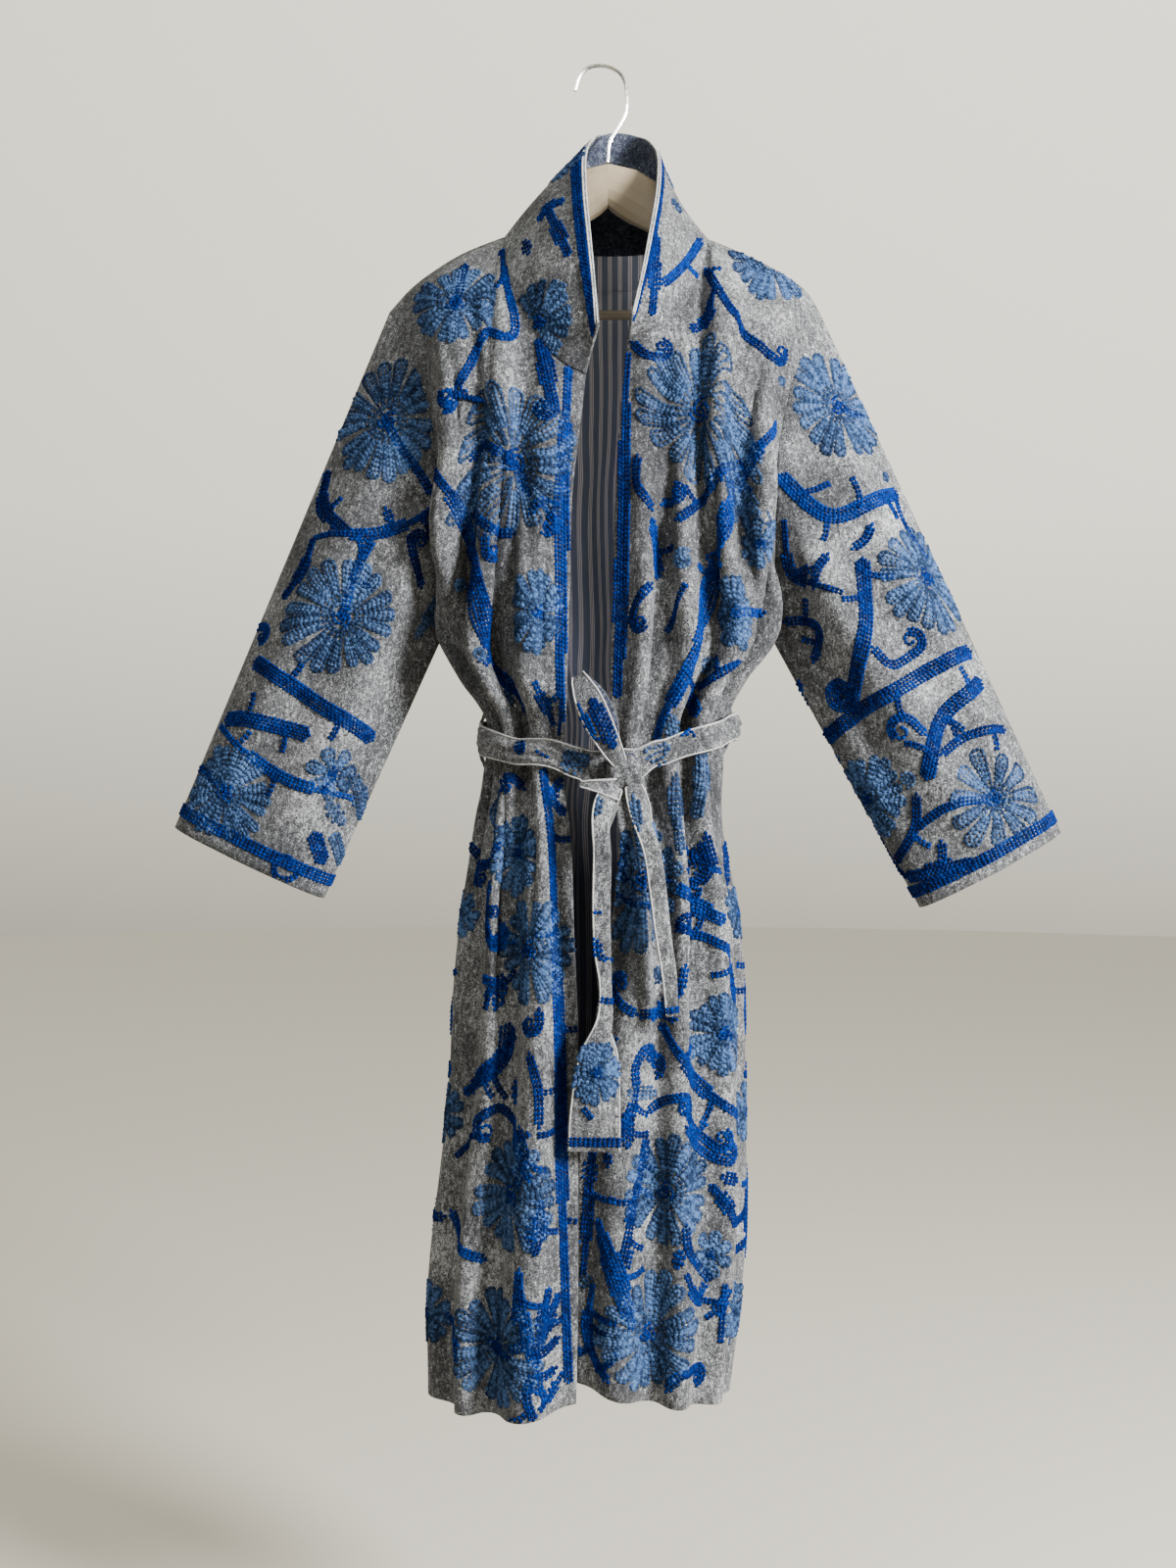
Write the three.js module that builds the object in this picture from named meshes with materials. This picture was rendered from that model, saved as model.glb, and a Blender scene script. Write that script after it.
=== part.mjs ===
// A kimono robe hanging from a one-piece hanger, in millimetres.
// +Z is up, +X is the wearer's left-hand side of the picture plane turned to the viewer's right,
// and +Y runs away from the open front. The origin is the point inside the hook's top
// where the hanger bears on its support.
import * as THREE from "three";

// Driving sizes
const CLOTH_WALL = 3.0;
const LINING_WALL = 1.0;
const BELT_WALL = 2.0;
const SEAM_GAP = 0.3;
const HALF_GAP = SEAM_GAP / 2;
const LAYER_GAP = 0.5;
const LINING_INSET = 10;
const NECK_COLUMNS = 12;
const SHOULDER_COLUMNS = 9;
const BACK_NECK_COLUMNS = 14;
const COLLAR_ROWS = 5;
const COLLAR_GAP = 0.6;
const SLEEVE_ROWS = 10;
const ARMHOLE_STATION = 6;
const ROWS_PER_STATION = 2;
const SOLVER_STEPS = 120;
const CUFF_HALF_DEPTH = 30;
const SIDE_DEPTH = -10;
const TAU = Math.PI * 2;
const DEGREE = Math.PI / 180;

// Neckline stations, from the left front point round the back to the right front point.
// seam: on the body's neckline. free: on the collar's free edge. swell: how far the band bows out.
const NECKLINE = [
  { seam: [-14, -63, -317], free: [-2, -98, -279], swell: 0 },
  { seam: [-40, -69, -304], free: [-5, -94, -240], swell: 3 },
  { seam: [-68, -61, -263], free: [-9, -83, -193], swell: 5 },
  { seam: [-86, -38, -220], free: [-13, -56, -140], swell: 5 },
  { seam: [-92, 0, -167], free: [-13, -20, -92], swell: 4 },
  { seam: [-70, 24, -166], free: [-5, 12, -65], swell: 3 },
  { seam: [-30, 35, -172], free: [8, 29, -54], swell: 2 },
  { seam: [7, 37, -174], free: [23, 36, -51], swell: 1 },
  { seam: [45, 35, -173], free: [38, 31, -56], swell: 1 },
  { seam: [85, 24, -168], free: [49, 13, -68], swell: -2 },
  { seam: [105, 0, -169], free: [56, -14, -92], swell: -6 },
  { seam: [92, -38, -222], free: [54, -50, -136], swell: -2 },
  { seam: [74, -60, -258], free: [47, -75, -182], swell: 3 },
  { seam: [49, -69, -275], free: [39, -90, -226], swell: 4 },
  { seam: [26, -64, -283], free: [29, -96, -270], swell: 0 },
];
const LEFT_NECK = 4;
const RIGHT_NECK = 10;
const LAST_NECK = 14;

// Shoulder seams, neck point to tip.
const SHOULDER_LEFT = [
  [-92, 0, -167], [-132, 0, -183], [-162, 0, -201], [-184, 0, -218], [-205, 0, -241],
];
const SHOULDER_RIGHT = [
  [105, 0, -169], [145, 0, -186], [176, 0, -202], [202, 0, -221], [216, 0, -244],
];

// Body stations from the shoulder down to the hem. edge: the open front edge. side: the armhole
// and then the side seam. width: cut width of the cloth across that row. end: the heading in
// degrees where the row meets the side. sag: how far the row hangs below its two ends.
const FRONT_LEFT = [
  { edge: [-14, -63, -317], side: [-205, 0, -241], width: 252, end: 92, sag: 0 },
  { edge: [-21, -74, -382], side: [-177, -34, -296], width: 200, end: 136, sag: 0 },
  { edge: [-26, -76, -424], side: [-160, -45, -352], width: 178, end: 146, sag: 0 },
  { edge: [-28, -77, -468], side: [-155, -48, -404], width: 170, end: 148, sag: 0 },
  { edge: [-29, -77, -515], side: [-158, -43, -447], width: 176, end: 140, sag: 2 },
  { edge: [-30, -77, -554], side: [-156, -32, -492], width: 184, end: 122, sag: 4 },
  { edge: [-31, -77, -592], side: [-147, -10, -542], width: 188, end: 92, sag: 5 },
  { edge: [-32, -75, -626], side: [-123, -10, -594], width: 174, end: 92, sag: 3 },
  { edge: [-34, -72, -660], side: [-99, -10, -638], width: 150, end: 92, sag: 0 },
  { edge: [-34, -72, -706], side: [-99, -10, -684], width: 150, end: 92, sag: 0 },
  { edge: [-28, -80, -752], side: [-107, -10, -742], width: 168, end: 92, sag: 0 },
  { edge: [-25, -87, -835], side: [-117, -10, -827], width: 192, end: 92, sag: 0 },
  { edge: [-21, -92, -940], side: [-124, -10, -930], width: 208, end: 92, sag: 0 },
  { edge: [-21, -95, -1060], side: [-137, -10, -1050], width: 222, end: 92, sag: 0 },
  { edge: [-21, -97, -1180], side: [-151, -10, -1170], width: 234, end: 92, sag: 4 },
  { edge: [-23, -98, -1274], side: [-150, -10, -1278], width: 238, end: 92, sag: 12 },
];
const FRONT_RIGHT = [
  { edge: [26, -64, -283], side: [216, 0, -244], width: 252, end: 92, sag: 0 },
  { edge: [20, -71, -343], side: [191, -34, -296], width: 206, end: 136, sag: 0 },
  { edge: [17, -73, -386], side: [176, -45, -346], width: 178, end: 146, sag: 0 },
  { edge: [15, -75, -430], side: [168, -48, -396], width: 186, end: 148, sag: 0 },
  { edge: [13, -76, -480], side: [167, -43, -444], width: 200, end: 140, sag: 2 },
  { edge: [12, -76, -530], side: [167, -32, -496], width: 214, end: 122, sag: 4 },
  { edge: [10, -76, -576], side: [161, -10, -546], width: 220, end: 92, sag: 5 },
  { edge: [10, -75, -618], side: [134, -10, -592], width: 206, end: 92, sag: 3 },
  { edge: [7, -72, -658], side: [114, -10, -636], width: 186, end: 92, sag: 0 },
  { edge: [9, -72, -704], side: [109, -10, -682], width: 184, end: 92, sag: 0 },
  { edge: [18, -77, -750], side: [108, -10, -742], width: 180, end: 92, sag: 0 },
  { edge: [11, -81, -831], side: [124, -10, -827], width: 202, end: 92, sag: 0 },
  { edge: [-6, -84, -936], side: [133, -10, -930], width: 224, end: 92, sag: 0 },
  { edge: [-20, -88, -1056], side: [136, -10, -1050], width: 240, end: 92, sag: 0 },
  { edge: [-21, -89, -1172], side: [131, -10, -1170], width: 240, end: 92, sag: 4 },
  { edge: [-21, -89, -1258], side: [117, -10, -1284], width: 236, end: 92, sag: 10 },
];
const BACK = [
  { depth: 0, width: 430, end: 4 },
  { depth: 32, width: 378, end: 20 },
  { depth: 38, width: 356, end: 26 },
  { depth: 41, width: 352, end: 30 },
  { depth: 36, width: 364, end: 42 },
  { depth: 26, width: 384, end: 60 },
  { depth: -10, width: 396, end: 88 },
  { depth: -10, width: 366, end: 88 },
  { depth: -10, width: 326, end: 88 },
  { depth: -10, width: 322, end: 88 },
  { depth: -10, width: 326, end: 88 },
  { depth: -10, width: 352, end: 88 },
  { depth: -10, width: 372, end: 88 },
  { depth: -10, width: 396, end: 88 },
  { depth: -10, width: 408, end: 88 },
  { depth: -10, width: 404, end: 88 },
];

// Folds of each panel. at: station index. marks: the valleys between ridges, as shares of the
// row from the front edge (from the left side on the back). lift: how sharply each ridge stands.
const FOLDS_LEFT = [
  { at: 0, marks: [0.02, 0.30, 0.60, 0.98], lift: [0.5, 0.7, 0.7] },
  { at: 3, marks: [0.02, 0.30, 0.58, 0.98], lift: [0.6, 0.9, 0.9] },
  { at: 6, marks: [0.02, 0.34, 0.66, 0.98], lift: [0.8, 1.1, 1.0] },
  { at: 8, marks: [0.04, 0.36, 0.66, 0.96], lift: [1.1, 1.2, 0.9] },
  { at: 9, marks: [0.04, 0.36, 0.66, 0.96], lift: [1.1, 1.2, 0.9] },
  { at: 11, marks: [0.02, 0.42, 0.68, 0.97], lift: [1.1, 1.1, 0.8] },
  { at: 15, marks: [0.02, 0.46, 0.70, 0.97], lift: [1.1, 1.2, 0.9] },
];
const FOLDS_RIGHT = [
  { at: 0, marks: [0.02, 0.24, 0.46, 0.70, 0.98], lift: [0.4, 0.5, 0.6, 0.7] },
  { at: 3, marks: [0.02, 0.22, 0.42, 0.66, 0.98], lift: [0.4, 0.6, 0.9, 1.0] },
  { at: 6, marks: [0.02, 0.25, 0.48, 0.72, 0.98], lift: [0.7, 1.0, 1.2, 0.9] },
  { at: 8, marks: [0.03, 0.27, 0.50, 0.74, 0.96], lift: [1.0, 1.2, 1.2, 0.9] },
  { at: 9, marks: [0.03, 0.27, 0.50, 0.74, 0.96], lift: [1.0, 1.2, 1.2, 0.9] },
  { at: 11, marks: [0.02, 0.30, 0.55, 0.78, 0.97], lift: [0.9, 1.2, 0.9, 0.8] },
  { at: 15, marks: [0.02, 0.36, 0.62, 0.82, 0.97], lift: [1.0, 1.2, 0.8, 0.8] },
];
const FOLDS_BACK = [
  { at: 0, marks: [0.06, 0.26, 0.43, 0.57, 0.76, 0.94], lift: [0.6, 0.5, 0.5, 0.5, 0.6] },
  { at: 4, marks: [0.06, 0.26, 0.43, 0.57, 0.76, 0.94], lift: [0.9, 0.7, 0.6, 0.8, 0.9] },
  { at: 6, marks: [0.12, 0.28, 0.44, 0.58, 0.74, 0.88], lift: [1.0, 0.9, 0.8, 1.0, 0.9] },
  { at: 8, marks: [0.14, 0.30, 0.45, 0.57, 0.72, 0.86], lift: [1.0, 1.1, 0.9, 1.1, 1.0] },
  { at: 9, marks: [0.14, 0.30, 0.45, 0.57, 0.72, 0.86], lift: [1.0, 1.1, 0.9, 1.1, 1.0] },
  { at: 15, marks: [0.12, 0.32, 0.46, 0.60, 0.72, 0.88], lift: [1.1, 0.9, 1.0, 0.8, 1.1] },
];

// Wall directions shared by body and sleeve along the front half of the left armhole.
const ARMHOLE_NORMALS = [
  [-0.75, 0, 0.66],
  [-0.58, -0.72, 0.38],
  [-0.45, -0.88, 0.14],
  [-0.42, -0.91, 0],
  [-0.46, -0.88, -0.05],
  [-0.52, -0.8, -0.3],
  [0, 0, -1],
];

// Sleeves: centre of the cuff and the half width that points to the underarm side.
const CUFF_LEFT = { centre: [-340, -16, -779], half: [71, 0, -34] };
const CUFF_RIGHT = { centre: [379, -16, -786], half: [-67, 0, -36] };
// Sleeve creases. round: share of the way round from the outer edge. drift: how far it moves
// round by the cuff. spread: half width. rise: height. from, to: shares of the length.
const CREASES_LEFT = [
  { round: 0.12, drift: 0.02, spread: 0.035, rise: 5, from: 0.0, to: 0.9 },
  { round: 0.23, drift: -0.04, spread: 0.04, rise: -5, from: 0.1, to: 1.1 },
  { round: 0.34, drift: -0.06, spread: 0.04, rise: 7, from: -0.1, to: 1.0 },
  { round: 0.44, drift: -0.05, spread: 0.04, rise: -5, from: -0.1, to: 0.8 },
  { round: 0.62, drift: 0.04, spread: 0.05, rise: 6, from: -0.1, to: 0.9 },
  { round: 0.80, drift: -0.03, spread: 0.05, rise: 5, from: 0.1, to: 1.1 },
];
const CREASES_RIGHT = [
  { round: 0.10, drift: 0.03, spread: 0.035, rise: 5, from: 0.0, to: 1.0 },
  { round: 0.21, drift: -0.03, spread: 0.035, rise: -4, from: 0.1, to: 0.9 },
  { round: 0.31, drift: -0.06, spread: 0.04, rise: 7, from: -0.1, to: 1.1 },
  { round: 0.42, drift: -0.07, spread: 0.04, rise: -6, from: -0.1, to: 0.9 },
  { round: 0.60, drift: 0.03, spread: 0.05, rise: 6, from: -0.1, to: 1.0 },
  { round: 0.83, drift: -0.05, spread: 0.05, rise: 5, from: 0.0, to: 1.0 },
];

// Sash round the waist, by compass angle about its centre: height of its middle, half width.
const SASH_CENTRE = [8, -28];
const SASH_SPACING = 2.5;
const SASH_ROWS = 3;
const SASH_CLEAR = 0.2;
const SASH_REACH = 44;
const SASH = [
  { angle: -180, height: -660, half: 23 },
  { angle: -140, height: -676, half: 24 },
  { angle: -100, height: -691, half: 24 },
  { angle: -70, height: -690, half: 20 },
  { angle: -45, height: -676, half: 15 },
  { angle: 0, height: -644, half: 17 },
  { angle: 50, height: -646, half: 23 },
  { angle: 120, height: -654, half: 24 },
  { angle: 180, height: -660, half: 23 },
];

// Knot of the sash: centre and half sizes.
const KNOT = { centre: [22, -98.1, -694], half: [16, 9, 17], rings: 8, sides: 16 };

// Ribbons of sash cloth. point: middle of the ribbon. across: direction of its width.
// width: cloth width there. fold: degrees of the lengthwise fold. Loop, long tail, short tail.
const BOW_LOOP = [
  { point: [18, -106.3, -684], across: [1, 0, 0.55], width: 13, fold: 10 },
  { point: [9, -113, -668], across: [1, 0, 0.55], width: 20, fold: 26 },
  { point: [-4, -121, -643], across: [1, 0, 0.45], width: 28, fold: 20 },
  { point: [-12, -120, -622], across: [1, 0, 0.35], width: 30, fold: 12 },
  { point: [-17, -117, -607], across: [1, 0, 0.3], width: 29, fold: 4 },
  { point: [-19, -110, -601], across: [1, 0, 0.3], width: 29, fold: 0 },
  { point: [-18, -104, -606], across: [1, 0, 0.3], width: 29, fold: 0 },
  { point: [-12, -102, -622], across: [1, 0, 0.35], width: 29, fold: 0 },
  { point: [-4, -101, -643], across: [1, 0, 0.45], width: 27, fold: 0 },
  { point: [6, -101, -661], across: [1, 0, 0.55], width: 20, fold: 0 },
  { point: [12, -101, -671], across: [1, 0, 0.55], width: 14, fold: 0 },
];
const LONG_TAIL = [
  { point: [15, -106.7, -705], across: [1, 0, 0], width: 15, fold: 14 },
  { point: [6, -109, -726], across: [1, 0.1, 0], width: 30, fold: 110 },
  { point: [1, -109, -770], across: [1, 0.3, 0], width: 42, fold: 140 },
  { point: [1, -110, -815], across: [1, 0.35, 0], width: 44, fold: 140 },
  { point: [2, -111, -855], across: [1, 0.7, 0], width: 42, fold: 140 },
  { point: [3, -112, -886], across: [0.4, 1, 0], width: 38, fold: 120 },
  { point: [1, -113, -915], across: [1, 0.7, 0], width: 42, fold: 70 },
  { point: [-2, -115, -955], across: [1, 0.25, 0], width: 46, fold: 40 },
  { point: [-5, -116, -1000], across: [1, 0.1, 0], width: 48, fold: 24 },
  { point: [-6, -117, -1038], across: [1, 0, 0], width: 48, fold: 18 },
];
const SHORT_TAIL = [
  { point: [29, -107.2, -704], across: [1, 0, 0.2], width: 15, fold: 14 },
  { point: [39, -111, -729], across: [1, 0.1, 0], width: 30, fold: 110 },
  { point: [47, -112, -765], across: [1, 0.2, 0], width: 42, fold: 130 },
  { point: [53, -112, -800], across: [1, 0.3, 0], width: 44, fold: 135 },
  { point: [58, -111, -840], across: [1, 0.5, 0], width: 42, fold: 140 },
  { point: [64, -112, -880], across: [1, 0.7, 0], width: 34, fold: 140 },
  { point: [69, -113, -915], across: [1, 0.7, 0], width: 24, fold: 140 },
];

// Thread loops at the side seams that hold the sash.
const CARRIER_HALF_WIDTH = 2.5;
const CARRIER_WALL = 1.6;
const CARRIER_STAND = 3.2;
const CARRIER_CLEAR = 2.2;
const CARRIER_HALF_HEIGHT = 33;

// Hanger: height of the top and bottom of its arm at each distance from the middle.
const HANGER_MIDDLE = 8;
const HANGER_ARM = [
  { out: 0, top: -94, bottom: -138, half: 8 },
  { out: 18, top: -98, bottom: -147, half: 8 },
  { out: 34, top: -108, bottom: -157, half: 8 },
  { out: 46, top: -119, bottom: -163, half: 8 },
  { out: 58, top: -135, bottom: -170, half: 7.5 },
  { out: 76, top: -158, bottom: -183, half: 7 },
  { out: 96, top: -178, bottom: -198, half: 6 },
  { out: 135, top: -199, bottom: -216, half: 5.5 },
  { out: 162, top: -214, bottom: -228, half: 5 },
  { out: 176, top: -224, bottom: -235, half: 4.75 },
];
const HANGER_BAR = { height: -243, radius: 4.75, reach: 171.7 };
const HANGER_TIP = [[184, -230], [186, -237], [181, -242.5], [172, -243]];
const HOOK_RADIUS = 2;
const HOOK_PATH = [
  [-24, -23], [-20, -10], [-12, -0.5], [0, 2], [13, -0.8], [22.5, -8.5], [26.5, -22], [26, -44],
  [18, -60], [10, -74], [8, -93.6],
];

// Small vector helpers
const add = (a, b) => [a[0] + b[0], a[1] + b[1], a[2] + b[2]];
const sub = (a, b) => [a[0] - b[0], a[1] - b[1], a[2] - b[2]];
const scaled = (a, k) => [a[0] * k, a[1] * k, a[2] * k];
const dot = (a, b) => a[0] * b[0] + a[1] * b[1] + a[2] * b[2];
const cross = (a, b) => [
  a[1] * b[2] - a[2] * b[1],
  a[2] * b[0] - a[0] * b[2],
  a[0] * b[1] - a[1] * b[0],
];
const unit = (a) => scaled(a, 1 / Math.hypot(...a));
const mix = (a, b, k) => add(scaled(a, 1 - k), scaled(b, k));
const mirror = (a) => [-a[0], a[1], a[2]];
const clamp01 = (x) => Math.min(1, Math.max(0, x));
const smooth = (x) => clamp01(x) ** 2 * (3 - 2 * clamp01(x));

// Catmull-Rom value of a list of numbers at a fractional index.
function along(values, t) {
  const last = values.length - 1;
  const i = Math.min(last - 1, Math.max(0, Math.floor(t)));
  const u = t - i;
  const b = values[i];
  const c = values[i + 1];
  const a = i > 0 ? values[i - 1] : 2 * b - c;
  const d = i + 2 <= last ? values[i + 2] : 2 * c - b;
  const m0 = (c - a) / 2;
  const m1 = (d - b) / 2;
  const u2 = u * u;
  const u3 = u2 * u;
  return (2 * u3 - 3 * u2 + 1) * b + (u3 - 2 * u2 + u) * m0 + (3 * u2 - 2 * u3) * c + (u3 - u2) * m1;
}
const alongPoint = (points, t) => [0, 1, 2].map((k) => along(points.map((p) => p[k]), t));

// Straight-line value between rows that carry their own station index.
function foldsAt(rows, t) {
  let i = 0;
  while (i < rows.length - 2 && rows[i + 1].at < t) {
    i += 1;
  }
  const k = smooth((t - rows[i].at) / (rows[i + 1].at - rows[i].at));
  const between = (key) => rows[i][key].map((v, n) => v + (rows[i + 1][key][n] - v) * k);
  return { marks: between("marks"), lift: between("lift") };
}

function foldWave(folds, s) {
  const { marks, lift } = folds;
  for (let i = 0; i < lift.length; i += 1) {
    if (s >= marks[i] && s <= marks[i + 1]) {
      return lift[i] * Math.sin((TAU * (s - marks[i])) / (marks[i + 1] - marks[i]));
    }
  }
  return 0;
}

// One row of cloth seen from above: a curve of fixed length whose heading turns along `turn`
// and waves with the folds; the fold height and the bow are solved so that it ends at `end`.
function clothRow({ start, end, width, turn, folds, guess }) {
  const heading = (s, g, q) => turn(s) + q * 4 * s * (1 - s) + g * foldWave(folds, s);
  const reach = (g, q) => {
    let x = start[0];
    let y = start[1];
    for (let i = 0; i < SOLVER_STEPS; i += 1) {
      const h = heading((i + 0.5) / SOLVER_STEPS, g, q);
      x += (Math.cos(h) * width) / SOLVER_STEPS;
      y += (Math.sin(h) * width) / SOLVER_STEPS;
    }
    return [x - end[0], y - end[1]];
  };
  let [g, q] = guess;
  for (let pass = 0; pass < 40; pass += 1) {
    const e = reach(g, q);
    const step = 1e-4;
    const eg = reach(g + step, q);
    const eq = reach(g, q + step);
    const a = (eg[0] - e[0]) / step;
    const b = (eq[0] - e[0]) / step;
    const c = (eg[1] - e[1]) / step;
    const d = (eq[1] - e[1]) / step;
    const det = a * d - b * c;
    const dg = (-e[0] * d + e[1] * b) / det;
    const dq = (-e[1] * a + e[0] * c) / det;
    g = Math.abs(g + Math.min(0.2, Math.max(-0.2, dg)));
    q += Math.min(0.2, Math.max(-0.2, dq));
    if (Math.hypot(...e) < 1e-6) {
      break;
    }
  }
  // The small remaining miss is spread evenly so that the row ends exactly on its seam.
  const miss = reach(g, q);
  return { heading: (s) => heading(s, g, q), found: [g, q], miss, start, width };
}

function rowPoints(row, shares) {
  const points = [];
  let x = row.start[0];
  let y = row.start[1];
  let done = 0;
  for (const share of shares) {
    const count = Math.max(1, Math.ceil((share - done) * SOLVER_STEPS * 2));
    const step = (share - done) / count;
    for (let i = 0; i < count; i += 1) {
      const h = row.heading(done + (i + 0.5) * step);
      x += Math.cos(h) * row.width * step;
      y += Math.sin(h) * row.width * step;
    }
    done = share;
    points.push([x - row.miss[0] * share, y - row.miss[1] * share]);
  }
  return points;
}

const ramp = (s, from, to) => smooth((s - from) / (to - from));

// Neckline seam, free edge and the wall direction they share, at a station index.
function neckline(c) {
  const seam = alongPoint(NECKLINE.map((n) => n.seam), c);
  const free = alongPoint(NECKLINE.map((n) => n.free), c);
  const swell = along(NECKLINE.map((n) => n.swell), c);
  const tangent = unit(sub(
    alongPoint(NECKLINE.map((n) => n.seam), Math.min(LAST_NECK, c + 0.02)),
    alongPoint(NECKLINE.map((n) => n.seam), Math.max(0, c - 0.02)),
  ));
  const rise = unit(sub(free, seam));
  // Away from the neck hole: the band's own face, turned a little to the body's.
  const face = unit(cross(tangent, rise));
  const outward = dot(face, sub(seam, [7, -10, seam[2]])) > 0 ? face : scaled(face, -1);
  const level = unit([outward[0], outward[1], 0]);
  const between = mix(outward, level, 0.5);
  const normal = unit(sub(between, scaled(tangent, dot(between, tangent))));
  return { seam, free, swell, normal };
}

function shoulder(table, k) {
  const point = alongPoint(table, k * (table.length - 1));
  const before = alongPoint(table, Math.max(0, k - 0.01) * (table.length - 1));
  const after = alongPoint(table, Math.min(1, k + 0.01) * (table.length - 1));
  const tangent = unit(sub(after, before));
  const normal = unit(sub([0, 0, 1], scaled(tangent, tangent[2])));
  return { point, normal };
}

function armholeNormal(station, front) {
  const n = unit(alongPoint(ARMHOLE_NORMALS, station));
  return [n[0], front ? n[1] : -n[1], n[2]];
}

// Grid normals from neighbours, turned to the side that `flip` names.
function gridNormals(points, flip, closed) {
  const rows = points.length;
  const columns = points[0].length;
  return points.map((row, r) => row.map((p, c) => {
    const left = closed ? row[(c + columns - 1) % columns] : row[Math.max(0, c - 1)];
    const right = closed ? row[(c + 1) % columns] : row[Math.min(columns - 1, c + 1)];
    const up = points[Math.max(0, r - 1)][c];
    const down = points[Math.min(rows - 1, r + 1)][c];
    return scaled(unit(cross(sub(right, left), sub(down, up))), flip);
  }));
}

// Closed solid between two offset copies of a grid of points.
function shellMesh(name, points, normals, outOffset, inOffset, flip, closed = false) {
  const rows = points.length;
  const columns = points[0].length;
  const position = [];
  const index = [];
  for (const offset of [outOffset, inOffset]) {
    for (let r = 0; r < rows; r += 1) {
      for (let c = 0; c < columns; c += 1) {
        position.push(...add(points[r][c], scaled(normals[r][c], offset)));
      }
    }
  }
  const outer = (r, c) => r * columns + (c % columns);
  const inner = (r, c) => rows * columns + outer(r, c);
  const face = (a, b, c) => (flip > 0 ? index.push(a, b, c) : index.push(a, c, b));
  const quad = (a, b, c, d) => {
    face(a, b, c);
    face(a, c, d);
  };
  const lastColumn = closed ? columns : columns - 1;
  const end = columns - 1;
  for (let r = 0; r < rows - 1; r += 1) {
    for (let c = 0; c < lastColumn; c += 1) {
      quad(outer(r, c), outer(r, c + 1), outer(r + 1, c + 1), outer(r + 1, c));
      quad(inner(r, c), inner(r + 1, c), inner(r + 1, c + 1), inner(r, c + 1));
    }
  }
  for (let c = 0; c < lastColumn; c += 1) {
    quad(outer(0, c), inner(0, c), inner(0, c + 1), outer(0, c + 1));
    quad(outer(rows - 1, c), outer(rows - 1, c + 1), inner(rows - 1, c + 1), inner(rows - 1, c));
  }
  if (!closed) {
    for (let r = 0; r < rows - 1; r += 1) {
      quad(outer(r, 0), outer(r + 1, 0), inner(r + 1, 0), inner(r, 0));
      quad(outer(r, end), inner(r, end), inner(r + 1, end), outer(r + 1, end));
    }
  }
  return meshOf(name, position, index);
}

function meshOf(name, position, index) {
  const geometry = new THREE.BufferGeometry();
  geometry.setAttribute("position", new THREE.Float32BufferAttribute(position, 3));
  geometry.setIndex(index);
  const mesh = new THREE.Mesh(geometry);
  mesh.name = name;
  return mesh;
}

const LAST_STATION = FRONT_LEFT.length - 1;
const BODY_ROWS = LAST_STATION * ROWS_PER_STATION;
const ARMHOLE_ROWS = ARMHOLE_STATION * ROWS_PER_STATION;

// Share of a point's own row height left over from the seam it hangs from.
const fromTop = (t) => clamp01(1 - t / ARMHOLE_STATION);
const fromTopPlan = (t) => clamp01(1 - t / 3) ** 3;

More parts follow.
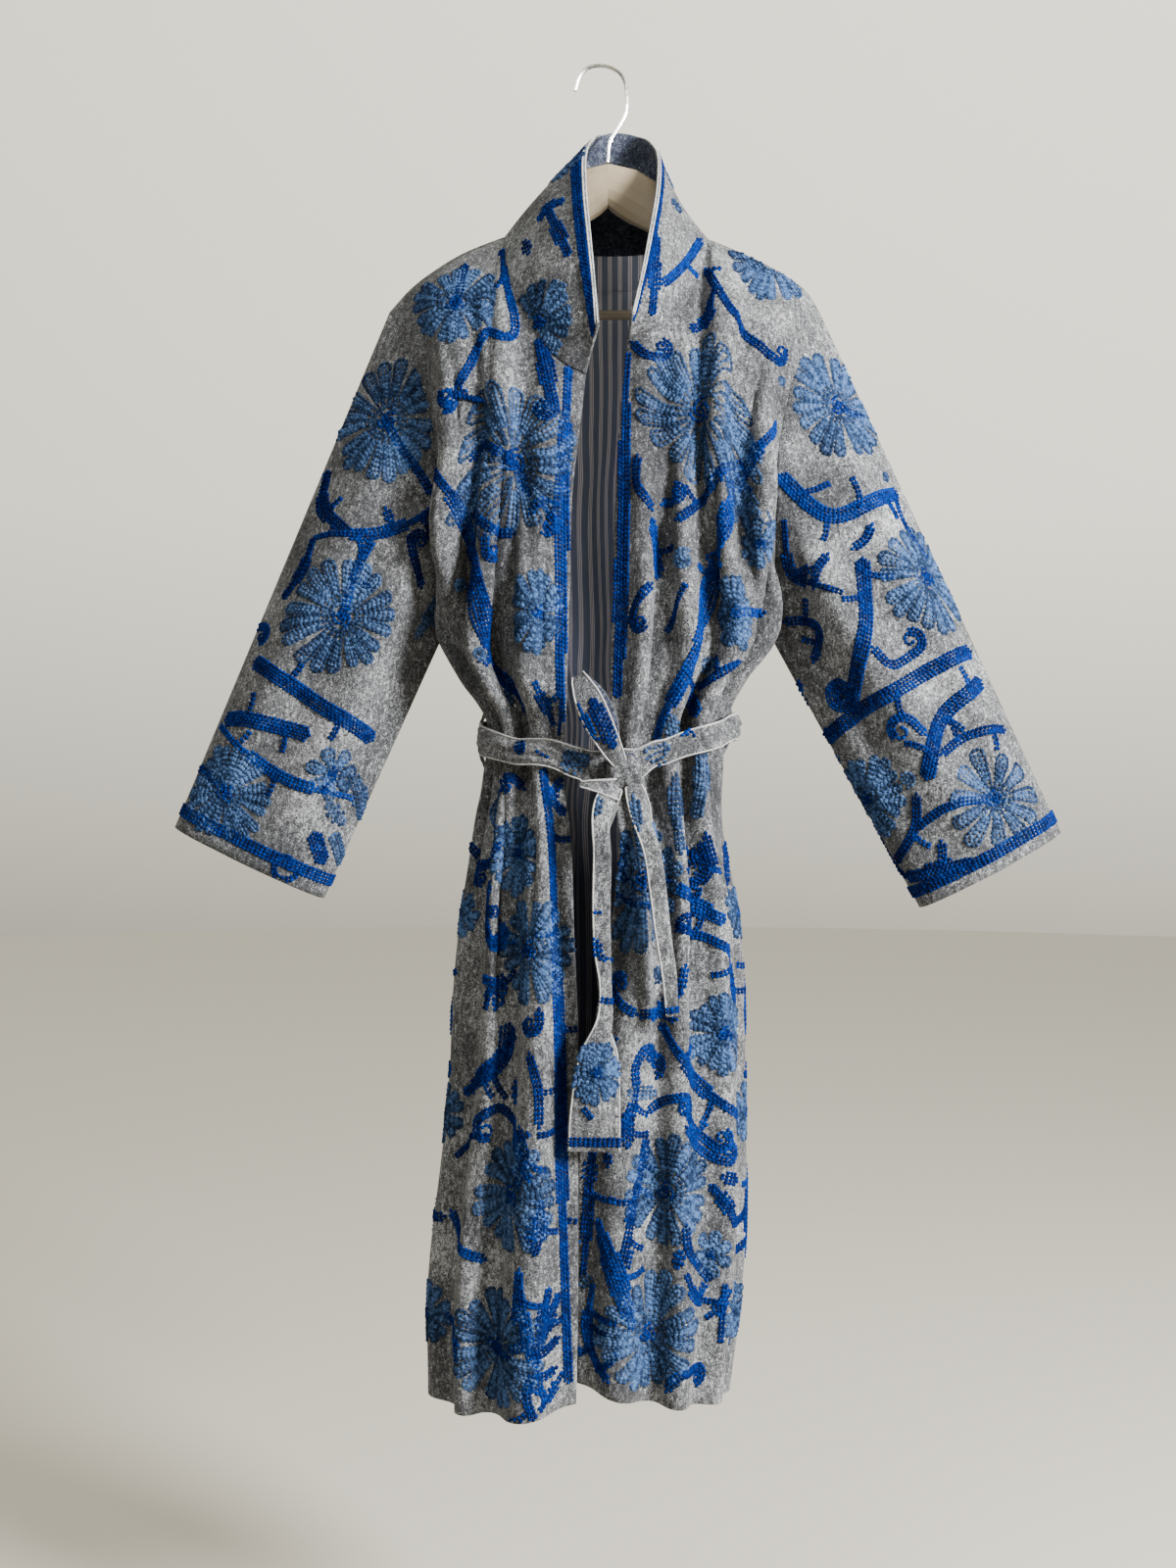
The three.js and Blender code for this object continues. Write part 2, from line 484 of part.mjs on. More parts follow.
// A front panel, built as the left one; the right one is its mirror with its own tables.
function frontPanel({ stations, foldTable, shoulderTable, neckStart, neckEnd, side }) {
  const columns = NECK_COLUMNS + SHOULDER_COLUMNS;
  const shares = Array.from({ length: columns + 1 }, (_, c) => c / columns);
  const turned = (p) => (side < 0 ? p : mirror(p));
  const top = shares.map((_, c) => {
    if (c <= NECK_COLUMNS) {
      const n = neckline(neckStart + ((neckEnd - neckStart) * c) / NECK_COLUMNS);
      return { point: turned(n.seam), normal: turned(n.normal) };
    }
    const s = shoulder(shoulderTable, (c - NECK_COLUMNS) / SHOULDER_COLUMNS);
    return { point: turned(s.point), normal: turned(s.normal) };
  });
  const points = [];
  let firstPlan = null;
  const guess = [1, 0];
  for (let r = 0; r <= BODY_ROWS; r += 1) {
    const t = r / ROWS_PER_STATION;
    const edge = turned(alongPoint(stations.map((n) => n.edge), t));
    const seam = turned(alongPoint(stations.map((n) => n.side), t));
    seam[1] = t < ARMHOLE_STATION ? seam[1] : SIDE_DEPTH;
    const width = along(stations.map((n) => n.width), t);
    const endHeading = along(stations.map((n) => n.end), t) * DEGREE;
    const sag = along(stations.map((n) => n.sag), t);
    const startHeading = 184 * DEGREE;
    const row = clothRow({
      start: edge, end: seam, width, folds: foldsAt(foldTable, t), guess,
      turn: (s) => startHeading + (endHeading - startHeading) * ramp(s, 0.5, 1),
    });
    const plan = rowPoints(row, shares);
    firstPlan = firstPlan ?? plan;
    const topEdge = top[0].point[2];
    const topSide = top[columns].point[2];
    points.push(shares.map((s, c) => {
      const rest = top[c].point[2] - (topEdge + (topSide - topEdge) * s);
      const z = edge[2] + (seam[2] - edge[2]) * s - sag * 4 * s * (1 - s) + rest * fromTop(t);
      const k = fromTopPlan(t);
      return [
        plan[c][0] + (top[c].point[0] - firstPlan[c][0]) * k,
        plan[c][1] + (top[c].point[1] - firstPlan[c][1]) * k,
        z,
      ];
    }));
  }
  const normals = gridNormals(points, 1, false);
  for (let c = 0; c <= columns; c += 1) {
    normals[0][c] = top[c].normal;
  }
  for (let r = 0; r <= BODY_ROWS; r += 1) {
    const t = r / ROWS_PER_STATION;
    normals[r][columns] = r > ARMHOLE_ROWS ? [-1, 0, 0] : armholeNormal(t, true);
  }
  for (let c = NECK_COLUMNS; c <= columns; c += 1) {
    points[0][c] = add(points[0][c], [0, -HALF_GAP, 0]);
  }
  for (let r = ARMHOLE_ROWS; r <= BODY_ROWS; r += 1) {
    points[r][columns] = add(points[r][columns], [0, -HALF_GAP, 0]);
  }
  if (side > 0) {
    const mirrored = (grid) => grid.map((row) => row.map(mirror));
    return { points: mirrored(points), normals: mirrored(normals), flip: -1 };
  }
  return { points, normals, flip: 1 };
}

function backPanel() {
  const columns = BACK_NECK_COLUMNS + 2 * SHOULDER_COLUMNS;
  const shares = Array.from({ length: columns + 1 }, (_, c) => c / columns);
  const rightNeck = SHOULDER_COLUMNS + BACK_NECK_COLUMNS;
  const top = shares.map((_, c) => {
    if (c < SHOULDER_COLUMNS) {
      return shoulder(SHOULDER_LEFT, 1 - c / SHOULDER_COLUMNS);
    }
    if (c > rightNeck) {
      return shoulder(SHOULDER_RIGHT, (c - rightNeck) / SHOULDER_COLUMNS);
    }
    const k = (c - SHOULDER_COLUMNS) / BACK_NECK_COLUMNS;
    const n = neckline(LEFT_NECK + (RIGHT_NECK - LEFT_NECK) * k);
    return { point: n.seam, normal: n.normal };
  });
  const points = [];
  let firstPlan = null;
  const guess = [0.8, 0];
  for (let r = 0; r <= BODY_ROWS; r += 1) {
    const t = r / ROWS_PER_STATION;
    const left = alongPoint(FRONT_LEFT.map((n) => n.side), t);
    const right = alongPoint(FRONT_RIGHT.map((n) => n.side), t);
    const depth = t < ARMHOLE_STATION ? along(BACK.map((n) => n.depth), t) : SIDE_DEPTH;
    const width = along(BACK.map((n) => n.width), t);
    const end = along(BACK.map((n) => n.end), t) * DEGREE;
    left[1] = depth;
    right[1] = depth;
    const row = clothRow({
      start: left, end: right, width, folds: foldsAt(FOLDS_BACK, t), guess,
      turn: (s) => end * (1 - ramp(s, 0, 0.22)) - end * ramp(s, 0.78, 1),
    });
    const plan = rowPoints(row, shares);
    firstPlan = firstPlan ?? plan;
    const topLeft = top[0].point[2];
    const topRight = top[columns].point[2];
    points.push(shares.map((s, c) => {
      const rest = top[c].point[2] - (topLeft + (topRight - topLeft) * s);
      const z = left[2] + (right[2] - left[2]) * s + rest * fromTop(t);
      const k = fromTopPlan(t);
      return [
        plan[c][0] + (top[c].point[0] - firstPlan[c][0]) * k,
        plan[c][1] + (top[c].point[1] - firstPlan[c][1]) * k,
        z,
      ];
    }));
  }
  const normals = gridNormals(points, 1, false);
  for (let c = 0; c <= columns; c += 1) {
    normals[0][c] = top[c].normal;
  }
  for (let r = 0; r <= BODY_ROWS; r += 1) {
    const t = r / ROWS_PER_STATION;
    const below = r > ARMHOLE_ROWS;
    normals[r][0] = below ? [-1, 0, 0] : armholeNormal(t, false);
    normals[r][columns] = below ? [1, 0, 0] : mirror(armholeNormal(t, false));
  }
  for (let c = 0; c <= columns; c += 1) {
    if (c <= SHOULDER_COLUMNS || c >= rightNeck) {
      points[0][c] = add(points[0][c], [0, HALF_GAP, 0]);
    }
  }
  for (let r = ARMHOLE_ROWS; r <= BODY_ROWS; r += 1) {
    points[r][0] = add(points[r][0], [0, HALF_GAP, 0]);
    points[r][columns] = add(points[r][columns], [0, HALF_GAP, 0]);
  }
  return { points, normals, flip: 1 };
}

// A sleeve: a tube from the closed armhole seam to the cuff, with its creases.
function sleevePanel({ front, back, frontColumn, backColumn, cuff, creases, side }) {
  const around = 2 * ARMHOLE_ROWS;
  const ring = [];
  const ringNormals = [];
  for (let i = 0; i < around; i += 1) {
    const onFront = i <= ARMHOLE_ROWS;
    const r = onFront ? i : around - i;
    const panel = onFront ? front : back;
    const column = onFront ? frontColumn : backColumn;
    ring.push([...panel.points[r][column]]);
    ringNormals.push(panel.normals[r][column]);
  }
  ring[0][1] = 0;
  ring[ARMHOLE_ROWS][1] = front.points[ARMHOLE_ROWS][frontColumn][1] + HALF_GAP;
  const points = [];
  for (let j = 0; j <= SLEEVE_ROWS; j += 1) {
    const t = j / SLEEVE_ROWS;
    points.push(ring.map((p, i) => {
      const a = (TAU * i) / around;
      const goal = add(
        add(cuff.centre, scaled(cuff.half, -Math.cos(a))),
        [0, -Math.sin(a) * CUFF_HALF_DEPTH, 0],
      );
      return mix(p, goal, t);
    }));
  }
  const flip = side < 0 ? -1 : 1;
  const plain = gridNormals(points, flip, true);
  for (let j = 1; j <= SLEEVE_ROWS; j += 1) {
    const t = j / SLEEVE_ROWS;
    for (let i = 0; i < around; i += 1) {
      const u = i / around;
      let rise = 7 * Math.sin(Math.PI * Math.min(1, t * 1.1)) * Math.abs(Math.sin(TAU * u));
      for (const crease of creases) {
        const gap = Math.abs(u - crease.round - crease.drift * t);
        const near = Math.min(gap, 1 - gap) / crease.spread;
        const share = clamp01((t - crease.from) / 0.25) * clamp01((crease.to - t) / 0.25);
        rise += crease.rise * share * Math.exp(-near * near);
      }
      points[j][i] = add(points[j][i], scaled(plain[j][i], rise * smooth(t * 4)));
    }
  }
  const normals = gridNormals(points, flip, true);
  for (let i = 0; i < around; i += 1) {
    const before = ring[(i + around - 1) % around];
    const after = ring[(i + 1) % around];
    const tangent = unit(sub(after, before));
    let away = unit(cross(tangent, ringNormals[i]));
    const outward = sub(points[1][i], points[0][i]);
    away = dot(away, outward) > 0 ? away : scaled(away, -1);
    points[0][i] = add(points[0][i], scaled(away, SEAM_GAP));
    normals[0][i] = ringNormals[i];
  }
  return { points, normals, flip };
}

function collarPanel() {
  const stations = [];
  for (let c = 0; c <= NECK_COLUMNS; c += 1) {
    stations.push((LEFT_NECK * c) / NECK_COLUMNS);
  }
  for (let c = 1; c < BACK_NECK_COLUMNS; c += 1) {
    stations.push(LEFT_NECK + ((RIGHT_NECK - LEFT_NECK) * c) / BACK_NECK_COLUMNS);
  }
  for (let c = 0; c <= NECK_COLUMNS; c += 1) {
    stations.push(RIGHT_NECK + ((LAST_NECK - RIGHT_NECK) * c) / NECK_COLUMNS);
  }
  const necks = stations.map(neckline);
  const points = [];
  for (let r = 0; r <= COLLAR_ROWS; r += 1) {
    const v = r / COLLAR_ROWS;
    const bow = Math.sin(Math.PI * v);
    points.push(necks.map((n) => add(mix(n.seam, n.free, v), scaled(n.normal, n.swell * bow))));
  }
  const normals = gridNormals(points, -1, false);
  necks.forEach((n, c) => {
    normals[0][c] = n.normal;
    const before = necks[Math.max(0, c - 1)].seam;
    const after = necks[Math.min(necks.length - 1, c + 1)].seam;
    const away = unit(cross(sub(after, before), n.normal));
    const up = sub(n.free, n.seam);
    points[0][c] = add(points[0][c], scaled(away, dot(away, up) > 0 ? COLLAR_GAP : -COLLAR_GAP));
  });
  return { points, normals, flip: -1 };
}

// Convex outline round a set of plan points.
function hull(points) {
  const sorted = [...points].sort((p, q) => p[0] - q[0] || p[1] - q[1]);
  const chain = (list) => {
    const out = [];
    for (const p of list) {
      while (out.length > 1) {
        const a = out[out.length - 2];
        const b = out[out.length - 1];
        if ((b[0] - a[0]) * (p[1] - a[1]) - (b[1] - a[1]) * (p[0] - a[0]) > 0) {
          break;
        }
        out.pop();
      }
      out.push(p);
    }
    return out.slice(0, -1);
  };
  return [...chain(sorted), ...chain(sorted.reverse())];
}

function sashAt(angle) {
  let i = 0;
  while (i < SASH.length - 2 && SASH[i + 1].angle < angle) {
    i += 1;
  }
  const k = smooth((angle - SASH[i].angle) / (SASH[i + 1].angle - SASH[i].angle));
  return {
    height: SASH[i].height + (SASH[i + 1].height - SASH[i].height) * k,
    half: SASH[i].half + (SASH[i + 1].half - SASH[i].half) * k,
  };
}

// The sash lies on the outermost folds of the cloth it gathers.
function sashBand(panels) {
  const near = [];
  for (const panel of panels) {
    panel.points.forEach((row, r) => row.forEach((p, c) => {
      const angle = Math.atan2(p[1] - SASH_CENTRE[1], p[0] - SASH_CENTRE[0]) / DEGREE;
      if (Math.abs(p[2] - sashAt(angle).height) < SASH_REACH) {
        const q = add(p, scaled(panel.normals[r][c], CLOTH_WALL / 2));
        near.push([q[0] - SASH_CENTRE[0], q[1] - SASH_CENTRE[1]]);
      }
    }));
  }
  const outline = hull(near).reverse();
  const spaced = [];
  for (const p of outline) {
    const last = spaced[spaced.length - 1];
    if (!last || Math.hypot(last[0] - p[0], last[1] - p[1]) > SASH_SPACING) {
      spaced.push(p);
    }
  }
  const offset = SEAM_GAP + SASH_CLEAR + BELT_WALL / 2;
  const count = spaced.length;
  const loop = spaced.map((p, i) => {
    const before = spaced[(i + count - 1) % count];
    const after = spaced[(i + 1) % count];
    const normal = (a, b) => unit([a[1] - b[1], b[0] - a[0], 0]);
    const bisector = unit(add(normal(before, p), normal(p, after)));
    const reach = offset / Math.max(0.5, dot(bisector, normal(p, after)));
    return [p[0] + bisector[0] * reach, p[1] + bisector[1] * reach];
  });
  const points = [];
  for (let r = 0; r <= SASH_ROWS; r += 1) {
    const v = 1 - (2 * r) / SASH_ROWS;
    points.push(loop.map(([x, y]) => {
      const s = sashAt(Math.atan2(y, x) / DEGREE);
      return [SASH_CENTRE[0] + x, SASH_CENTRE[1] + y, s.height + s.half * v];
    }));
  }
  return { points, normals: gridNormals(points, 1, true), flip: 1 };
}

// A ribbon of cloth along a table of points, folded lengthwise as its table says.
function ribbon(name, table, rowsPerStation, columns) {
  const rows = (table.length - 1) * rowsPerStation;
  const centres = [];
  for (let r = 0; r <= rows; r += 1) {
    centres.push(alongPoint(table.map((n) => n.point), r / rowsPerStation));
  }
  const points = centres.map((centre, r) => {
    const t = r / rowsPerStation;
    const path = unit(sub(centres[Math.min(rows, r + 1)], centres[Math.max(0, r - 1)]));
    const wanted = alongPoint(table.map((n) => n.across), t);
    const across = unit(sub(wanted, scaled(path, dot(wanted, path))));
    const deep = cross(path, across);
    const width = along(table.map((n) => n.width), t);
    const fold = along(table.map((n) => n.fold), t) * DEGREE;
    const flat = [];
    let x = 0;
    let y = 0;
    for (let c = 0; c <= columns; c += 1) {
      if (c > 0) {
        const s = (c - 0.5) / columns;
        const heading = fold * (smooth((s - 0.32) / 0.36) - 0.5);
        x += (Math.cos(heading) * width) / columns;
        y += (Math.sin(heading) * width) / columns;
      }
      flat.push([x, y]);
    }
    const middle = [(flat[0][0] + flat[columns][0]) / 2, (flat[0][1] + flat[columns][1]) / 2];
    return flat.map((f) => add(centre, add(
      scaled(across, f[0] - middle[0]),
      scaled(deep, f[1] - middle[1]),
    )));
  });
  const normals = gridNormals(points, 1, false);
  return shellMesh(name, points, normals, BELT_WALL / 2, -BELT_WALL / 2, 1);
}

// Knot of the sash: a squashed round body with two soft wraps.
function knotMesh() {
  const { centre, half, rings, sides } = KNOT;
  const position = [...add(centre, [0, 0, half[2]])];
  const index = [];
  for (let r = 1; r < rings; r += 1) {
    const v = (Math.PI * r) / rings;
    for (let i = 0; i < sides; i += 1) {
      const a = (TAU * i) / sides;
      const wrap = 1 + 0.06 * Math.sin(3 * v + Math.cos(a) * 1.4);
      position.push(
        centre[0] + half[0] * wrap * Math.sin(v) ** 0.8 * Math.cos(a),
        centre[1] + half[1] * wrap * Math.sin(v) ** 0.8 * Math.sin(a),
        centre[2] + half[2] * Math.cos(v),
      );
    }
  }
  position.push(...add(centre, [0, 0, -half[2]]));
  const at = (r, i) => 1 + (r - 1) * sides + (i % sides);
  const last = 1 + (rings - 1) * sides;
  for (let i = 0; i < sides; i += 1) {
    index.push(0, at(1, i), at(1, i + 1));
    index.push(last, at(rings - 1, i + 1), at(rings - 1, i));
    for (let r = 1; r < rings - 1; r += 1) {
      index.push(at(r, i), at(r + 1, i), at(r + 1, i + 1));
      index.push(at(r, i), at(r + 1, i + 1), at(r, i + 1));
    }
  }
  return meshOf("belt_knot", position, index);
}

// Thread loop standing off the side seam, over the sash.
function carrierMesh(name, sash, seamAt, side) {
  const ring = sash.points[0];
  const beside = [-1, 1].flatMap((end) => ring.flatMap((p, i) => {
    const q = ring[(i + 1) % ring.length];
    const share = (SIDE_DEPTH + end * CARRIER_HALF_WIDTH - p[1]) / (q[1] - p[1]);
    return share >= 0 && share <= 1 ? [side * (p[0] + (q[0] - p[0]) * share)] : [];
  }));
  const height = sashAt(side < 0 ? -180 : 0).height;
  const middle = [side * Math.max(...beside), SIDE_DEPTH, height];
  const stand = middle[0] + side * (BELT_WALL / 2 + SEAM_GAP + CARRIER_WALL / 2);
  const top = middle[2] + CARRIER_HALF_HEIGHT;
  const bottom = middle[2] - CARRIER_HALF_HEIGHT;
  const foot = (z) => seamAt(z) + side * (CLOTH_WALL / 2 + CARRIER_CLEAR);
  const path = [
    [foot(top), top],
    [foot(top) + side * CARRIER_STAND * 0.6, top - 0.5],
    [stand, top - 6],
    [stand, middle[2] + 10],
    [stand, middle[2] - 10],
    [stand, bottom + 6],
    [foot(bottom) + side * CARRIER_STAND * 0.6, bottom + 0.5],
    [foot(bottom), bottom],
  ];
  const points = path.map(([x, z]) => [
    [x, middle[1] - CARRIER_HALF_WIDTH, z],
    [x, middle[1] + CARRIER_HALF_WIDTH, z],
  ]);
  const normals = gridNormals(points, side < 0 ? 1 : -1, false);
  const flip = side < 0 ? 1 : -1;
  return shellMesh(name, points, normals, CARRIER_WALL / 2, -CARRIER_WALL / 2, flip);
}

// A rod of changing section along a path in the hanger's plane.
function rodMesh(name, path, sides) {
  const position = [];
  const index = [];
  path.forEach((p, i) => {
    const before = path[Math.max(0, i - 1)].centre;
    const after = path[Math.min(path.length - 1, i + 1)].centre;
    const t = unit([after[0] - before[0], 0, after[1] - before[1]]);
    const across = [-t[2], 0, t[0]];
    for (let k = 0; k < sides; k += 1) {
      const a = (TAU * k) / sides;
      const tall = Math.cos(a) * p.tall;
      position.push(p.centre[0] + across[0] * tall, Math.sin(a) * p.deep, p.centre[1] + across[2] * tall);
    }
  });
  const at = (i, k) => i * sides + (k % sides);
  for (let i = 0; i < path.length - 1; i += 1) {
    for (let k = 0; k < sides; k += 1) {
      index.push(at(i, k), at(i + 1, k + 1), at(i, k + 1));
      index.push(at(i, k), at(i + 1, k), at(i + 1, k + 1));
    }
  }
  const last = path.length - 1;
  for (let k = 1; k < sides - 1; k += 1) {
    index.push(at(0, 0), at(0, k), at(0, k + 1));
    index.push(at(last, 0), at(last, k + 1), at(last, k));
  }
  return meshOf(name, position, index);
}

function hangerMeshes() {
  const half = HANGER_ARM.map((n) => ({
    centre: [n.out, (n.top + n.bottom) / 2],
    tall: (n.top - n.bottom) / 2,
    deep: n.half,
  }));
  HANGER_TIP.forEach((p) => half.push({ centre: p, tall: HANGER_BAR.radius, deep: HANGER_BAR.radius }));
  // The arm's sections stand upright near the middle, so each is as tall as its table says.
  const place = (p, side) => ({ ...p, centre: [HANGER_MIDDLE + side * p.centre[0], p.centre[1]] });
  const right = half.slice(1).map((p) => place(p, 1));
  const left = half.slice(1).map((p) => place(p, -1)).reverse();
  const arms = rodMesh("hanger_arms", [...left, place(half[0], 1), ...right], 14);
  const barAt = (out) => ({
    centre: [HANGER_MIDDLE + out, HANGER_BAR.height],
    tall: HANGER_BAR.radius,
    deep: HANGER_BAR.radius,
  });
  const bar = rodMesh("hanger_bar", [barAt(-HANGER_BAR.reach), barAt(0), barAt(HANGER_BAR.reach)], 14);
  const bends = [];
  const steps = (HOOK_PATH.length - 1) * 3;
  const path3 = HOOK_PATH.map((p) => [p[0], 0, p[1]]);
  for (let i = 0; i <= steps; i += 1) {
    const p = alongPoint(path3, i / 3);
    bends.push({ centre: [p[0], p[2]], tall: HOOK_RADIUS, deep: HOOK_RADIUS });
  }
  return [arms, bar, rodMesh("hanger_hook", bends, 8)];
}

function buildRobe() {
  const left = frontPanel({
    stations: FRONT_LEFT, foldTable: FOLDS_LEFT, shoulderTable: SHOULDER_LEFT,
    neckStart: 0, neckEnd: LEFT_NECK, side: -1,
  });
  const right = frontPanel({
    stations: FRONT_RIGHT, foldTable: FOLDS_RIGHT, shoulderTable: SHOULDER_RIGHT,
    neckStart: LAST_NECK, neckEnd: RIGHT_NECK, side: 1,
  });
  const back = backPanel();
  const columns = NECK_COLUMNS + SHOULDER_COLUMNS;
  const backColumns = BACK_NECK_COLUMNS + 2 * SHOULDER_COLUMNS;
  const sleeveLeft = sleevePanel({
    front: left, back, frontColumn: columns, backColumn: 0,
    cuff: CUFF_LEFT, creases: CREASES_LEFT, side: -1,
  });
  const sleeveRight = sleevePanel({
    front: right, back, frontColumn: columns, backColumn: backColumns,
    cuff: CUFF_RIGHT, creases: CREASES_RIGHT, side: 1,
  });
  const half = CLOTH_WALL / 2;
  const cloth = (name, panel, closed) => (
    shellMesh(name, panel.points, panel.normals, half, -half, panel.flip, closed)
  );
  // The lining is the back's own grid, moved in behind its wall.
  const liningEnd = backColumns + 1 - LINING_INSET;
  const trim = (grid) => grid.slice(1, -1).map((row) => row.slice(LINING_INSET, liningEnd));
  const nearFace = -half - LAYER_GAP;
  const lining = shellMesh(
    "lining_back", trim(back.points), trim(back.normals), nearFace, nearFace - LINING_WALL, back.flip,
  );
  const sash = sashBand([left, right, back]);
  const seamX = (table) => (z) => {
    let t = ARMHOLE_STATION;
    while (t < LAST_STATION && alongPoint(table.map((n) => n.side), t)[2] > z) {
      t += 0.05;
    }
    return alongPoint(table.map((n) => n.side), t)[0];
  };
  const robe = new THREE.Group();
  robe.name = "kimono_robe";
  robe.add(
    cloth("back", back, false),
    cloth("front_left", left, false),
    cloth("front_right", right, false),
    cloth("sleeve_left", sleeveLeft, true),
    cloth("sleeve_right", sleeveRight, true),
    cloth("collar", collarPanel(), false),
    lining,
    shellMesh("belt_band", sash.points, sash.normals, BELT_WALL / 2, -BELT_WALL / 2, sash.flip, true),
    knotMesh(),
    ribbon("belt_bow_loop", BOW_LOOP, 2, 6),
    ribbon("belt_tail_long", LONG_TAIL, 2, 8),
    ribbon("belt_tail_short", SHORT_TAIL, 2, 8),
    carrierMesh("carrier_left", sash, seamX(FRONT_LEFT), -1),
    carrierMesh("carrier_right", sash, seamX(FRONT_RIGHT), 1),
    ...hangerMeshes(),
  );
  return robe;
}

export default buildRobe();
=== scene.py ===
"""A long embroidered kimono robe on a hanger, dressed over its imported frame.

Lengths in the tables are millimetres in the frame's own axes: +Z up, +X to the viewer's right,
+Y away from the open front. Meshes are written in metres.
"""

import math

import bmesh
import bpy
import numpy as np
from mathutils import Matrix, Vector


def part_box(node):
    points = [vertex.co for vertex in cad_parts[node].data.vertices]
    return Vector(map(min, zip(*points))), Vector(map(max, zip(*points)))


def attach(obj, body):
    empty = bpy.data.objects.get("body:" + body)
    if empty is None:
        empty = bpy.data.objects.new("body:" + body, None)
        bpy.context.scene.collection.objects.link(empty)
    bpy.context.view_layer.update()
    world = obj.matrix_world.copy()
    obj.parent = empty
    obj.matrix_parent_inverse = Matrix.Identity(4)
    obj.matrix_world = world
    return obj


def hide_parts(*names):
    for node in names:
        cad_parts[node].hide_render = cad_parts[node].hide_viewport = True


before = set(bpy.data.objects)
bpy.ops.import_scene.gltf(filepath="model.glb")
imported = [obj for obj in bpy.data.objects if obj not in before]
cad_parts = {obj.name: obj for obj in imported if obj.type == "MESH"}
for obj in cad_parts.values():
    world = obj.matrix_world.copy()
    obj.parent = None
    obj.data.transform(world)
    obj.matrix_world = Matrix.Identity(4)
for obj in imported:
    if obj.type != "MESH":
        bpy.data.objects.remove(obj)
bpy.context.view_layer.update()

MM = 0.001
DEGREE = math.pi / 180
TAU = 2 * math.pi

# ---------------------------------------------------------------- camera and studio

VIEW = {"x": -11.4, "y": -1620.0, "z": -703.0, "lens": 37.9}
VIEW_STEP = 0.95
VIEW_PLANE = -20.0
SKY_STRENGTH, SKY_LEAN, SKY_BEHIND = 1.22, 0.62, 0.6


def camera():
    data = bpy.data.cameras.new("front_view")
    data.lens = VIEW["lens"]
    data.sensor_width = 36
    data.clip_start = 0.05
    eye = bpy.data.objects.new("front_view", data)
    eye.location = (VIEW["x"] * MM, VIEW["y"] * MM, VIEW["z"] * MM)
    eye.rotation_euler = (90 * DEGREE, 0, 0)
    bpy.context.scene.collection.objects.link(eye)
    bpy.context.scene.camera = eye


def soft_lamp(name, place, aim, size, power, tint):
    data = bpy.data.lights.new(name, "AREA")
    data.shape = "DISK"
    data.size = size
    data.energy = power
    data.color = tint
    lamp = bpy.data.objects.new(name, data)
    lamp.location = place
    direction = [a - b for a, b in zip(place, aim)]
    flat = math.hypot(direction[0], direction[1])
    lamp.rotation_euler = (math.atan2(flat, direction[2]), 0, math.atan2(direction[0], -direction[1]))
    bpy.context.scene.collection.objects.link(lamp)


def studio():
    """Pale room light: a little darker low down, where it meets the floor, and brighter to the right."""
    world = bpy.data.worlds.new("pale_studio")
    world.use_nodes = True
    tree = world.node_tree
    sky = tree.nodes["Background"]
    toward = tree.nodes.new("ShaderNodeSeparateXYZ")
    height, shades = tree.nodes.new("ShaderNodeMapRange"), tree.nodes.new("ShaderNodeValToRGB")
    side, depth = tree.nodes.new("ShaderNodeMath"), tree.nodes.new("ShaderNodeMath")
    tree.links.new(tree.nodes.new("ShaderNodeTexCoord").outputs["Generated"], toward.inputs[0])
    height.inputs["From Min"].default_value, height.inputs["From Max"].default_value = -0.12, 0.5
    tree.links.new(toward.outputs["Z"], height.inputs["Value"])
    tree.links.new(height.outputs[0], shades.inputs["Fac"])
    stops = ((0.0, (0.30, 0.28, 0.235)), (0.45, (0.84, 0.80, 0.67)), (1.0, (1.0, 0.965, 0.81)))
    shades.color_ramp.elements.new(0.5)
    for element, (place, colour) in zip(shades.color_ramp.elements, stops):
        element.position, element.color = place, (*colour, 1)
    tree.links.new(shades.outputs["Color"], sky.inputs["Color"])
    side.operation = depth.operation = "MULTIPLY_ADD"
    side.inputs[1].default_value, side.inputs[2].default_value = SKY_LEAN, SKY_STRENGTH
    depth.inputs[1].default_value = SKY_BEHIND
    tree.links.new(toward.outputs["X"], side.inputs[0])
    tree.links.new(toward.outputs["Y"], depth.inputs[0])
    tree.links.new(side.outputs[0], depth.inputs[2])
    tree.links.new(depth.outputs[0], sky.inputs["Strength"])
    bpy.context.scene.world = world
    soft_lamp("window_right", (1.95, -1.5, 0.15), (0.0, 0.0, -0.85), 0.8, 400, (1.0, 0.99, 0.97))
    soft_lamp("ceiling_left", (-0.8, -1.3, 1.0), (0.0, 0.0, -0.15), 0.9, 26, (1.0, 0.98, 0.95))


# ---------------------------------------------------------------- lines and rows

def along(values, t):
    """Catmull-Rom value of a table at fractional rows, as the frame's own source reads it."""
    v = np.asarray(values, float)
    t = np.asarray(t, float)
    last = len(v) - 1
    padded = np.concatenate([[2 * v[0] - v[1]], v, [2 * v[last] - v[last - 1]]])
    i = np.clip(np.floor(t).astype(int), 0, last - 1)
    u = t - i
    a, b, c, d = padded[i], padded[i + 1], padded[i + 2], padded[i + 3]
    if v.ndim > 1:
        u = u[..., None]
    m0, m1 = (c - a) / 2, (d - b) / 2
    ease = 3 * u**2 - 2 * u**3
    return (1 - ease) * b + (u**3 - 2 * u**2 + u) * m0 + ease * c + (u**3 - u**2) * m1


def unit(v):
    v = np.asarray(v, float)
    return v / np.maximum(np.linalg.norm(v, axis=-1, keepdims=True), 1e-9)


def smooth(x):
    x = np.clip(x, 0, 1)
    return x * x * (3 - 2 * x)


def ramp(s, a, b):
    return smooth((np.asarray(s, float) - a) / (b - a))


# ---------------------------------------------------------------- the robe's measures

